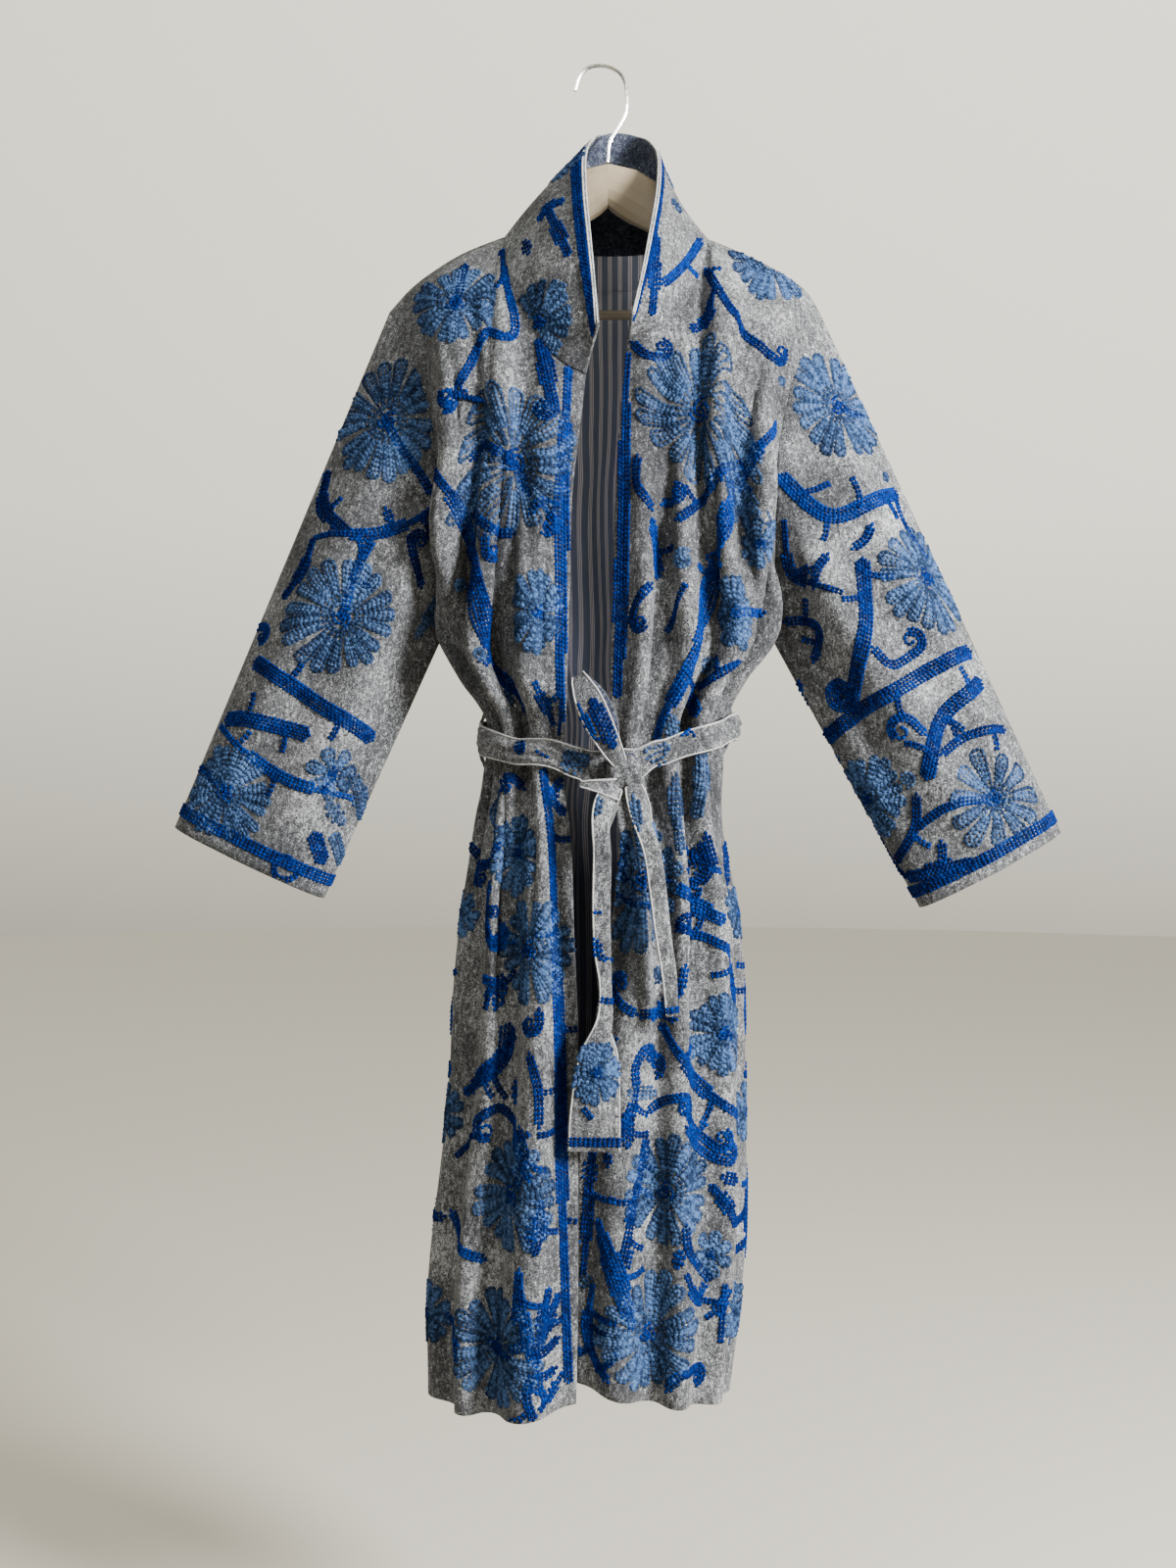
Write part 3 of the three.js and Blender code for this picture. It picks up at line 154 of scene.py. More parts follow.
CLOTH_WALL = 3.0
LINING_WALL = 1.0
BELT_WALL = 2.0
SEAM_GAP = 0.3
NECK_COLUMNS = 12
SHOULDER_COLUMNS = 9
BACK_NECK_COLUMNS = 14
FINE = 3
ROWS = 10
ARMHOLE = 6
LAST_STATION = 15
CUFF_HALF_DEPTH = 30
CREASE_DEPTH = 1.5
SIDE_DEPTH = -10.0
PLAN_STEPS = 240
FRONT_HEADING = 184
SEAM_REACH = 26
SLEEVE_ROWS = 60
COLLAR_ROWS = 18
COLLAR_GAP = 0.6
SASH_ROWS, SASH_COLUMNS = 13, 160
SASH_NEAR = 26
SASH_CLEAR = 0.9
EDGE_SWELL = 0.22
RIBBON_STEPS = 8
PIPING_RADIUS = 0.75
COLLAR_PIPING_RADIUS = 0.9
COLLAR_PIPING_STEP = 2.8

NECK_SEAM = [
    (-14, -63, -317), (-40, -69, -304), (-68, -61, -263), (-86, -38, -220), (-92, 0, -167),
    (-70, 24, -166), (-30, 35, -172), (7, 37, -174), (45, 35, -173), (85, 24, -168),
    (105, 0, -169), (92, -38, -222), (74, -60, -258), (49, -69, -275), (26, -64, -283),
]
NECK_FREE = [
    (-2, -98, -279), (-5, -94, -240), (-9, -83, -193), (-13, -56, -140), (-13, -20, -92),
    (-5, 12, -65), (8, 29, -54), (23, 36, -51), (38, 31, -56), (49, 13, -68),
    (56, -14, -92), (54, -50, -136), (47, -75, -182), (39, -90, -226), (29, -96, -270),
]
NECK_SWELL = [0, 3, 5, 5, 4, 3, 2, 1, 1, -2, -6, -2, 3, 4, 0]
LEFT_NECK, RIGHT_NECK, LAST_NECK = 4, 10, 14
SHOULDER_LEFT = [(-92, 0, -167), (-132, 0, -183), (-162, 0, -201), (-184, 0, -218), (-205, 0, -241)]
SHOULDER_RIGHT = [(105, 0, -169), (145, 0, -186), (176, 0, -202), (202, 0, -221), (216, 0, -244)]

# Stations down the body: front edge, side, cut width, heading at the side, sag.
FRONT_LEFT = [
    ((-14, -63, -317), (-205, 0, -241), 252, 92, 0), ((-21, -74, -382), (-177, -34, -296), 200, 136, 0),
    ((-26, -76, -424), (-160, -45, -352), 178, 146, 0), ((-28, -77, -468), (-155, -48, -404), 170, 148, 0),
    ((-29, -77, -515), (-158, -43, -447), 176, 140, 2), ((-30, -77, -554), (-156, -32, -492), 184, 122, 4),
    ((-31, -77, -592), (-147, -10, -542), 188, 92, 5), ((-32, -75, -626), (-123, -10, -594), 174, 92, 3),
    ((-34, -72, -660), (-99, -10, -638), 150, 92, 0), ((-34, -72, -706), (-99, -10, -684), 150, 92, 0),
    ((-28, -80, -752), (-107, -10, -742), 168, 92, 0), ((-25, -87, -835), (-117, -10, -827), 192, 92, 0),
    ((-21, -92, -940), (-124, -10, -930), 208, 92, 0), ((-21, -95, -1060), (-137, -10, -1050), 222, 92, 0),
    ((-21, -97, -1180), (-151, -10, -1170), 234, 92, 4),
    ((-23, -98, -1274), (-150, -10, -1278), 238, 92, 12),
]
FRONT_RIGHT = [
    ((26, -64, -283), (216, 0, -244), 252, 92, 0), ((20, -71, -343), (191, -34, -296), 206, 136, 0),
    ((17, -73, -386), (176, -45, -346), 178, 146, 0), ((15, -75, -430), (168, -48, -396), 186, 148, 0),
    ((13, -76, -480), (167, -43, -444), 200, 140, 2), ((12, -76, -530), (167, -32, -496), 214, 122, 4),
    ((10, -76, -576), (161, -10, -546), 220, 92, 5), ((10, -75, -618), (134, -10, -592), 206, 92, 3),
    ((7, -72, -658), (114, -10, -636), 186, 92, 0), ((9, -72, -704), (109, -10, -682), 184, 92, 0),
    ((18, -77, -750), (108, -10, -742), 180, 92, 0), ((11, -81, -831), (124, -10, -827), 202, 92, 0),
    ((-6, -84, -936), (133, -10, -930), 224, 92, 0), ((-20, -88, -1056), (136, -10, -1050), 240, 92, 0),
    ((-21, -89, -1172), (131, -10, -1170), 240, 92, 4), ((-21, -89, -1258), (117, -10, -1284), 236, 92, 10),
]
BACK = [
    (0, 430, 4), (32, 378, 20), (38, 356, 26), (41, 352, 30), (36, 364, 42), (26, 384, 60), (-10, 396, 88),
    (-10, 366, 88), (-10, 326, 88), (-10, 322, 88), (-10, 326, 88), (-10, 352, 88), (-10, 372, 88),
    (-10, 396, 88), (-10, 408, 88), (-10, 404, 88),
]
# Folds: station, valleys as shares of the row, lift of each ridge between them.
FOLDS_LEFT = [
    (0, [0.02, 0.30, 0.60, 0.98], [0.5, 0.7, 0.7]), (3, [0.02, 0.30, 0.58, 0.98], [0.6, 0.9, 0.9]),
    (6, [0.02, 0.34, 0.66, 0.98], [0.8, 1.1, 1.0]), (8, [0.04, 0.36, 0.66, 0.96], [1.1, 1.2, 0.9]),
    (9, [0.04, 0.36, 0.66, 0.96], [1.1, 1.2, 0.9]), (11, [0.02, 0.42, 0.68, 0.97], [1.1, 1.1, 0.8]),
    (15, [0.02, 0.46, 0.70, 0.97], [1.1, 1.2, 0.9]),
]
FOLDS_RIGHT = [
    (0, [0.02, 0.24, 0.46, 0.70, 0.98], [0.4, 0.5, 0.6, 0.7]),
    (3, [0.02, 0.22, 0.42, 0.66, 0.98], [0.4, 0.6, 0.9, 1.0]),
    (6, [0.02, 0.25, 0.48, 0.72, 0.98], [0.7, 1.0, 1.2, 0.9]),
    (8, [0.03, 0.27, 0.50, 0.74, 0.96], [1.0, 1.2, 1.2, 0.9]),
    (9, [0.03, 0.27, 0.50, 0.74, 0.96], [1.0, 1.2, 1.2, 0.9]),
    (11, [0.02, 0.30, 0.55, 0.78, 0.97], [0.9, 1.2, 0.9, 0.8]),
    (15, [0.02, 0.36, 0.62, 0.82, 0.97], [1.0, 1.2, 0.8, 0.8]),
]
FOLDS_BACK = [
    (0, [0.06, 0.26, 0.43, 0.57, 0.76, 0.94], [0.6, 0.5, 0.5, 0.5, 0.6]),
    (4, [0.06, 0.26, 0.43, 0.57, 0.76, 0.94], [0.9, 0.7, 0.6, 0.8, 0.9]),
    (6, [0.12, 0.28, 0.44, 0.58, 0.74, 0.88], [1.0, 0.9, 0.8, 1.0, 0.9]),
    (8, [0.14, 0.30, 0.45, 0.57, 0.72, 0.86], [1.0, 1.1, 0.9, 1.1, 1.0]),
    (9, [0.14, 0.30, 0.45, 0.57, 0.72, 0.86], [1.0, 1.1, 0.9, 1.1, 1.0]),
    (15, [0.12, 0.32, 0.46, 0.60, 0.72, 0.88], [1.1, 0.9, 1.0, 0.8, 1.1]),
]
ARMHOLE_NORMALS = [
    (-0.75, 0, 0.66), (-0.58, -0.72, 0.38), (-0.45, -0.88, 0.14), (-0.42, -0.91, 0),
    (-0.46, -0.88, -0.05), (-0.52, -0.8, -0.3), (0, 0, -1),
]
CUFF_LEFT = ((-340, -16, -779), (71, 0, -34))
CUFF_RIGHT = ((379, -16, -786), (-67, 0, -36))

SASH_CENTRE = np.array([8.0, -28.0])
SASH = [
    (-180, -660, 15), (-145, -672, 12), (-118, -682, 15), (-98, -688, 18), (-70, -688, 16), (-50, -674, 12),
    (-20, -656, 12), (0, -646, 13), (50, -646, 18), (120, -654, 19), (180, -660, 15),
]
KNOT_CENTRE, KNOT_HALF = (22, -99.5, -692), (17, 10, 16)
# The corner of the sash that is folded out under the knot.
KNOT_CORNER = [
    ((17, -108, -708), (-0.42, 0, 1), 23, -20), ((8, -112, -706.5), (-0.35, 0, 1), 18, -30),
    ((-4, -113, -704.5), (-0.25, 0, 1), 12, -30), ((-19, -110, -703), (0, 0, 1), 5, 0),
]
BOW_LOOP = [
    ((18, -107.5, -684), (1, 0, 0.55), 13, 20), ((9, -113, -668), (1, 0, 0.55), 21, 40),
    ((-3, -120, -645), (1, 0, 0.5), 27, 34), ((-12, -119, -624), (1, 0, 0.5), 25, 20),
    ((-18, -116, -610), (1, 0, 0.62), 17, 8), ((-20, -110, -604), (1, 0, 0.66), 12, 0),
    ((-17, -104, -610), (1, 0, 0.55), 18, 0), ((-7, -102, -626), (1, 0, 0.5), 27, 0),
    ((2, -101, -645), (1, 0, 0.5), 27, 0), ((8, -101, -661), (1, 0, 0.55), 20, 0),
    ((13, -101, -671), (1, 0, 0.55), 14, 0),
]
LONG_TAIL = [
    ((13, -107, -705), (1, 0, 0), 16, -10), ((3, -111, -726), (1, 0.5, 0), 26, -60),
    ((-5, -112, -770), (0.3, 1, 0), 34, -150), ((-6, -112, -815), (0.25, 1, 0), 34, -150),
    ((-5, -112, -855), (0.2, 1, 0), 32, -155), ((-2, -113, -886), (-0.1, 1, 0), 26, -155),
    ((0, -113, -912), (0.4, 1, 0), 26, -140), ((-2, -115, -950), (1, 0.4, 0), 42, -60),
    ((-5, -116, -1000), (1, 0.1, 0), 47, -24), ((-6, -117, -1038), (1, 0, 0), 48, 14),
]
SHORT_TAIL = [
    ((30, -107.5, -704), (1, 0, 0.2), 15, -10), ((36, -111, -729), (1, 0.6, 0), 26, -70),
    ((41, -112, -765), (0.35, 1, 0), 32, -145), ((46, -112, -800), (0.3, 1, 0), 32, -150),
    ((51, -112, -840), (0.25, 1, 0), 30, -150), ((57, -112, -880), (0.2, 1, 0), 28, -150),
    ((61, -113, -915), (0.3, 1, 0), 22, -140),
]

# Creases pressed into each panel: share across and station at both ends, half width
# in millimetres, and rise (a trough is below nothing).
CREASES_FRONT_LEFT = [
    (0.62, 0.4, 0.50, 3.2, 7, 4.2), (0.80, 0.6, 0.70, 3.6, 8, -4.8), (0.92, 1.6, 0.72, 6.2, 8, 5.0),
    (0.55, 2.6, 0.50, 7.8, 6, 3.6),
    (0.97, 3.4, 0.62, 7.6, 8, -4.8), (0.30, 2.6, 0.22, 7.4, 7, 4.2), (0.44, 2.2, 0.38, 8.0, 6, -4.6),
    (0.14, 2.0, 0.12, 7.4, 6, -3.6),
    (0.20, 9.4, 0.26, 12.4, 7, -2.2), (0.82, 9.4, 0.86, 13.0, 8, 2.8), (0.58, 10.6, 0.54, 14.4, 7, -2.4),
    (0.30, 12.4, 0.36, 14.8, 8, 2.6), (0.42, 3.0, 0.36, 9.2, 5, -8.0), (0.68, 4.0, 0.56, 9.2, 5, -8.0),
    (0.88, 5.0, 0.79, 9.2, 5, -6.5), (0.25, 8.4, 0.26, 11.4, 5, -6.0), (0.52, 8.4, 0.50, 12.6, 5, -6.5),
    (0.76, 8.4, 0.80, 12.0, 5, -6.0),
]
CREASES_FRONT_RIGHT = [
    (0.66, 0.5, 0.52, 3.4, 7, 4.0), (0.84, 0.8, 0.70, 4.2, 8, -4.8), (0.96, 2.0, 0.62, 7.2, 8, 5.4),
    (0.46, 2.0, 0.42, 7.6, 6, -4.4),
    (0.98, 3.6, 0.56, 7.9, 7, -5.0), (0.90, 4.8, 0.74, 8.0, 7, 4.4), (0.30, 2.0, 0.24, 6.8, 7, -4.4),
    (0.13, 2.2, 0.14, 7.4, 6, 3.6),
    (0.16, 9.6, 0.30, 13.0, 7, 2.6), (0.46, 9.4, 0.52, 14.0, 8, -2.6), (0.80, 9.5, 0.72, 12.8, 8, 2.6),
    (0.90, 11.4, 0.84, 14.8, 8, -2.4), (0.21, 3.4, 0.23, 9.2, 5, -8.0), (0.54, 3.2, 0.46, 9.2, 5, -8.0),
    (0.78, 4.4, 0.64, 9.2, 5, -7.0), (0.24, 8.4, 0.25, 11.8, 5, -6.0), (0.50, 8.4, 0.53, 12.8, 5, -6.5),
    (0.74, 8.4, 0.70, 12.2, 5, -6.0),
]
CREASES_BACK = [
    (0.10, 1.0, 0.24, 6.6, 8, 3.0), (0.90, 1.2, 0.74, 6.4, 8, 3.2), (0.04, 3.2, 0.30, 7.8, 8, -2.8),
    (0.96, 3.4, 0.68, 7.9, 8, -3.0), (0.36, 0.8, 0.40, 4.6, 9, 2.6), (0.62, 0.8, 0.57, 5.2, 9, -2.4),
    (0.50, 2.6, 0.49, 7.6, 9, 2.2), (0.24, 9.4, 0.16, 13.8, 9, -2.8), (0.40, 9.4, 0.36, 14.2, 9, 3.0),
    (0.55, 9.8, 0.60, 14.4, 9, -2.6), (0.78, 9.4, 0.86, 13.6, 9, 3.0), (0.92, 10.4, 0.90, 14.6, 8, -2.4),
]
# Sleeve creases: share round at the armhole, drift by the cuff, half width, rise, from, to.
CREASES_SLEEVE_LEFT = [
    (0.12, 0.02, 0.035, 5, 0.0, 0.9), (0.23, -0.04, 0.04, -5, 0.1, 1.1), (0.34, -0.06, 0.04, 7, -0.1, 1.0),
    (0.44, -0.05, 0.04, -5, -0.1, 0.8), (0.62, 0.04, 0.05, 6, -0.1, 0.9), (0.80, -0.03, 0.05, 5, 0.1, 1.1),
]
CREASES_SLEEVE_RIGHT = [
    (0.10, 0.03, 0.035, 5, 0.0, 1.0), (0.21, -0.03, 0.035, -4, 0.1, 0.9), (0.31, -0.06, 0.04, 7, -0.1, 1.1),
    (0.42, -0.07, 0.04, -6, -0.1, 0.9), (0.60, 0.03, 0.05, 6, -0.1, 1.0), (0.83, -0.05, 0.05, 5, 0.0, 1.0),
]


# ---------------------------------------------------------------- hung rows of cloth

def fold_wave(table, t, s):
    stations = [row[0] for row in table]
    i = min(len(table) - 2, max(0, int(np.searchsorted(stations, t, side="left")) - 1))
    k = float(smooth((t - table[i][0]) / (table[i + 1][0] - table[i][0])))
    marks = np.array(table[i][1]) * (1 - k) + np.array(table[i + 1][1]) * k
    lift = np.array(table[i][2]) * (1 - k) + np.array(table[i + 1][2]) * k
    wave = np.zeros_like(s)
    for n in range(len(lift)):
        inside = (s >= marks[n]) & (s <= marks[n + 1])
        wave[inside] = lift[n] * np.sin(TAU * (s[inside] - marks[n]) / (marks[n + 1] - marks[n]))
    return wave


def hung_row(start, end, width, turn, wave, first):
    """Plan of one row of cloth: its fold height and bow are solved so that it ends on its seam."""
    steps = len(turn)
    s = (np.arange(steps) + 0.5) / steps
    bow = 4 * s * (1 - s)

    def path(g, q):
        heading = turn + q * bow + g * wave
        return np.stack([np.cos(heading), np.sin(heading)], 1) * (width / steps)

    def miss(g, q):
        return path(g, q).sum(0) + start - end

    g, q = first
    for _ in range(40):
        e = miss(g, q)
        if np.hypot(*e) < 1e-6:
            break
        eg, eq = (miss(g + 1e-4, q) - e) / 1e-4, (miss(g, q + 1e-4) - e) / 1e-4
        det = eg[0] * eq[1] - eq[0] * eg[1]
        dg = (-e[0] * eq[1] + e[1] * eq[0]) / det
        dq = (-e[1] * eg[0] + e[0] * eg[1]) / det
        g = abs(g + min(0.2, max(-0.2, dg)))
        q += min(0.2, max(-0.2, dq))
    run = np.concatenate([[[0.0, 0.0]], np.cumsum(path(g, q), 0)]) + start
    return run - (run[-1] - end) * np.linspace(0, 1, steps + 1)[:, None]


def gathered_points(start, end, width, turns, folds, first, shares, top, sag):
    """The hung rows of one panel, drawn at their top into the line of the neck and the shoulder."""
    t = np.arange(len(start)) / ROWS
    s = (np.arange(PLAN_STEPS) + 0.5) / PLAN_STEPS
    plan = []
    for r in range(len(t)):
        run = hung_row(start[r, :2], end[r, :2], width[r], turns(r, s), fold_wave(folds, t[r], s), first)
        stops, marks = shares * PLAN_STEPS, np.arange(PLAN_STEPS + 1)
        plan.append(np.stack([np.interp(stops, marks, run[:, k]) for k in (0, 1)], 1))
    plan = np.array(plan)
    hold = (np.clip(1 - t / 3, 0, 1) ** 3)[:, None, None]
    plan = plan + (top[None, :, :2] - plan[0][None]) * hold
    rest = top[:, 2] - (top[0, 2] + (top[-1, 2] - top[0, 2]) * shares)
    z = start[:, 2:3] + (end[:, 2:3] - start[:, 2:3]) * shares - sag[:, None] * (4 * shares * (1 - shares))
    z = z + rest * np.clip(1 - t / ARMHOLE, 0, 1)[:, None]
    return np.concatenate([plan, z[..., None]], 2)


def neckline(c):
    c = np.asarray(c, float)
    seam, free, swell = along(NECK_SEAM, c), along(NECK_FREE, c), along(NECK_SWELL, c)
    ahead, behind = np.minimum(LAST_NECK, c + 0.02), np.maximum(0, c - 0.02)
    tangent = unit(along(NECK_SEAM, ahead) - along(NECK_SEAM, behind))
    face = unit(np.cross(tangent, unit(free - seam)))
    away = seam - np.array([7, -10, 0.0])
    away[..., 2] = 0
    face = face * np.where((face * away).sum(-1, keepdims=True) > 0, 1, -1)
    level = unit(face * [1, 1, 0])
    between = (face + level) / 2
    normal = unit(between - tangent * (between * tangent).sum(-1, keepdims=True))
    return seam, free, swell, normal


def shoulder(table, k):
    k = np.asarray(k, float)
    n = len(table) - 1
    tangent = unit(along(table, np.minimum(1, k + 0.01) * n) - along(table, np.maximum(0, k - 0.01) * n))
    up = np.zeros_like(tangent)
    up[..., 2] = 1
    return along(table, k * n), unit(up - tangent * tangent[..., 2:3])


def armhole_normal(t, front):
    n = unit(along(ARMHOLE_NORMALS, t))
    if not front:
        n = n * [1, -1, 1]
    return n


def grid_normals(points, flip, closed=False):
    if closed:
        across = np.roll(points, -1, 1) - np.roll(points, 1, 1)
    else:
        across = np.empty_like(points)
        across[:, 1:-1] = points[:, 2:] - points[:, :-2]
        across[:, 0], across[:, -1] = points[:, 1] - points[:, 0], points[:, -1] - points[:, -2]
    down = np.empty_like(points)
    down[1:-1] = points[2:] - points[:-2]
    down[0], down[-1] = points[1] - points[0], points[-1] - points[-2]
    return unit(np.cross(across, down)) * flip


def press_creases(points, normals, creases, widths):
    """Moves the cloth along its normals by soft uneven troughs and ridges, none of it at the seams."""
    rows, columns = points.shape[:2]
    t = np.linspace(0, LAST_STATION, rows)[:, None]
    s = np.linspace(0, 1, columns)[None, :]
    wide = np.asarray(widths)[:, None]
    rise = np.zeros((rows, columns))
    for n, (s0, t0, s1, t1, half, height) in enumerate(creases):
        k = np.clip((t - t0) / (t1 - t0), 0, 1)
        middle = s0 + (s1 - s0) * k + 0.012 * np.sin(5 * k + 1.7 * n)
        fade = smooth((t - t0) / 0.9) * smooth((t1 - t) / 1.2)
        uneven = 1 + 0.35 * np.sin(2.3 * t + 2.1 * n)
        rise += height * fade * uneven * np.exp(-(((s - middle) * wide / half) ** 2))
    edge = np.minimum(s, 1 - s) * wide
    hold = smooth(edge / SEAM_REACH) * smooth(t / 0.5) * smooth((LAST_STATION - t) / 0.35)
    return points + normals * (CREASE_DEPTH * rise * hold)[..., None]


def front_panel(stations, folds, shoulder_table, neck_from, neck_to, side, creases):
    columns = (NECK_COLUMNS + SHOULDER_COLUMNS) * FINE
    rows = LAST_STATION * ROWS
    shares = np.linspace(0, 1, columns + 1)
    turned = np.array([1 if side < 0 else -1, 1, 1])
    inner, outer = NECK_COLUMNS * FINE, SHOULDER_COLUMNS * FINE
    neck = neckline(neck_from + (neck_to - neck_from) * np.arange(inner + 1) / inner)
    tip = shoulder(shoulder_table, np.arange(1, outer + 1) / outer)
    top = np.concatenate([neck[0], tip[0]]) * turned
    top_normal = np.concatenate([neck[3], tip[1]]) * turned
    t = np.arange(rows + 1) / ROWS
    edge = along([n[0] for n in stations], t) * turned
    seam = along([n[1] for n in stations], t) * turned
    seam[t >= ARMHOLE, 1] = SIDE_DEPTH
    width = along([n[2] for n in stations], t)
    end_heading = along([n[3] for n in stations], t) * DEGREE
    sag = along([n[4] for n in stations], t)

    def turns(r, s):
        return FRONT_HEADING * DEGREE + (end_heading[r] - FRONT_HEADING * DEGREE) * ramp(s, 0.5, 1)

    points = gathered_points(edge, seam, width, turns, folds, (1.0, 0.0), shares, top, sag)
    points = press_creases(points, grid_normals(points, 1), creases, width)
    normals = seam_normals(points, top_normal, t, True)
    points[0, inner:, 1] -= SEAM_GAP / 2
    points[t >= ARMHOLE, -1, 1] -= SEAM_GAP / 2
    flip = 1
    if side > 0:
        points, normals, flip = points * turned, normals * turned, -1
    return {"points": points, "normals": normals, "flip": flip, "closed": False, "width": width}


def seam_normals(points, top_normal, t, front):
    """Cloth normals that turn, near a seam, to the direction both cloths share there."""
    normals = grid_normals(points, 1)
    near = (1 - smooth(t / 0.5))[:, None, None]
    normals = unit(normals * (1 - near) + top_normal[None] * near)
    below, at_hole = (t > ARMHOLE)[:, None], armhole_normal(np.minimum(t, ARMHOLE), front)
    shared = np.where(below, [-1.0, 0, 0], at_hole)
    seams = [(range(-1, -1 - FINE, -1), shared if front else shared * [-1, 1, 1])]
    if not front:
        seams.append((range(FINE), shared))
    for columns, aim in seams:
        for k, c in enumerate(columns):
            pull = float(1 - smooth(k / FINE))
            normals[:, c] = unit(normals[:, c] * (1 - pull) + aim * pull)
    return normals


def back_panel():
    columns = (BACK_NECK_COLUMNS + 2 * SHOULDER_COLUMNS) * FINE
    rows = LAST_STATION * ROWS
    shares = np.linspace(0, 1, columns + 1)
    outer = SHOULDER_COLUMNS * FINE
    middle = BACK_NECK_COLUMNS * FINE
    left = shoulder(SHOULDER_LEFT, 1 - np.arange(outer) / outer)
    neck = neckline(LEFT_NECK + (RIGHT_NECK - LEFT_NECK) * np.arange(middle + 1) / middle)
    right = shoulder(SHOULDER_RIGHT, np.arange(1, outer + 1) / outer)
    top = np.concatenate([left[0], neck[0], right[0]])
    top_normal = np.concatenate([left[1], neck[3], right[1]])
    t = np.arange(rows + 1) / ROWS
    start = along([n[1] for n in FRONT_LEFT], t)
    end = along([n[1] for n in FRONT_RIGHT], t)
    depth = np.where(t < ARMHOLE, along([n[0] for n in BACK], t), SIDE_DEPTH)
    start[:, 1], end[:, 1] = depth, depth
    width = along([n[1] for n in BACK], t)
    heading = along([n[2] for n in BACK], t) * DEGREE

    def turns(r, s):
        return heading[r] * (1 - ramp(s, 0, 0.22)) - heading[r] * ramp(s, 0.78, 1)

    sag = np.zeros(rows + 1)
    points = gathered_points(start, end, width, turns, FOLDS_BACK, (0.8, 0.0), shares, top, sag)
    points = press_creases(points, grid_normals(points, 1), CREASES_BACK, width)
    normals = seam_normals(points, top_normal, t, False)
    columns_on_shoulder = np.r_[0:outer + 1, outer + middle:columns + 1]
    points[0, columns_on_shoulder, 1] += SEAM_GAP / 2
    for c in (0, -1):
        points[t >= ARMHOLE, c, 1] += SEAM_GAP / 2
    return {"points": points, "normals": normals, "flip": 1, "closed": False, "width": width}


def sleeve_panel(front, back, back_column, cuff, creases, side):
    """A tube from the closed armhole seam to the cuff, with its creases."""
    holes = ARMHOLE * ROWS
    around = 2 * holes
    down = slice(0, holes + 1)
    back_rows = np.arange(holes - 1, 0, -1)
    ring = np.concatenate([front["points"][down, -1], back["points"][back_rows, back_column]]).copy()
    ring_normals = np.concatenate([front["normals"][down, -1], back["normals"][back_rows, back_column]])
    ring[0, 1] = 0
    ring[holes, 1] = front["points"][holes, -1, 1] + SEAM_GAP / 2
    t = np.arange(SLEEVE_ROWS + 1) / SLEEVE_ROWS
    turn = TAU * np.arange(around) / around
    centre, half = np.array(cuff[0], float), np.array(cuff[1], float)
    deep = np.stack([0 * turn, np.sin(turn) * CUFF_HALF_DEPTH, 0 * turn], 1)
    goal = centre - half * np.cos(turn)[:, None] - deep
    points = ring[None] * (1 - t)[:, None, None] + goal[None] * t[:, None, None]
    flip = side
    u = np.arange(around) / around
    rise = 7 * np.sin(np.pi * np.minimum(1, t * 1.1))[:, None] * np.abs(np.sin(TAU * u))[None]
    for middle, drift, spread, height, start, stop in creases:
        gap = np.abs(u[None] - middle - drift * t[:, None])
        near = np.minimum(gap, 1 - gap) / spread
        share = np.clip((t - start) / 0.25, 0, 1) * np.clip((stop - t) / 0.25, 0, 1)
        rise = rise + height * share[:, None] * np.exp(-near * near)
    points = points + grid_normals(points, flip, True) * (rise * smooth(t * 4)[:, None])[..., None]
    normals = grid_normals(points, flip, True)
    near = (1 - smooth(t / 0.1))[:, None, None]
    normals = unit(normals * (1 - near) + ring_normals[None] * near)
    tangent = unit(np.roll(ring, -1, 0) - np.roll(ring, 1, 0))
    away = unit(np.cross(tangent, ring_normals))
    away = away * np.where((away * (points[6] - points[0])).sum(1, keepdims=True) > 0, 1, -1)
    points[0] = points[0] + away * SEAM_GAP
    return {"points": points, "normals": normals, "flip": flip, "closed": True}


def collar_panel():
    front_steps, back_steps = NECK_COLUMNS * FINE, BACK_NECK_COLUMNS * FINE
    c = np.concatenate([
        LEFT_NECK * np.arange(front_steps + 1) / front_steps,
        LEFT_NECK + (RIGHT_NECK - LEFT_NECK) * np.arange(1, back_steps) / back_steps,
        RIGHT_NECK + (LAST_NECK - RIGHT_NECK) * np.arange(front_steps + 1) / front_steps,
    ])
    seam, free, swell, normal = neckline(c)
    v = np.linspace(0, 1, COLLAR_ROWS + 1)[:, None, None]
    points = seam[None] * (1 - v) + free[None] * v + (normal * swell[:, None])[None] * np.sin(np.pi * v)
    normals = grid_normals(points, -1)
    pull = (1 - smooth(v / 0.2))
    normals = unit(normals * (1 - pull) + normal[None] * pull)
    tangent = np.gradient(seam, axis=0)
    away = unit(np.cross(tangent, normal))
    away = away * np.where((away * (free - seam)).sum(1, keepdims=True) > 0, 1, -1)
    points[0] = points[0] + away * COLLAR_GAP
    return {"points": points, "normals": normals, "flip": -1, "closed": False}


# ---------------------------------------------------------------- sash, knot and ribbons

def convex_outline(points):
    order = sorted(map(tuple, points))

    def chain(listed):
        out = []
        for p in listed:
            while len(out) > 1:
                a, b = out[-2], out[-1]
                if (b[0] - a[0]) * (p[1] - a[1]) - (b[1] - a[1]) * (p[0] - a[0]) > 0:
                    break
                out.pop()
            out.append(p)
        return out[:-1]

    return np.array(chain(order) + chain(order[::-1]))


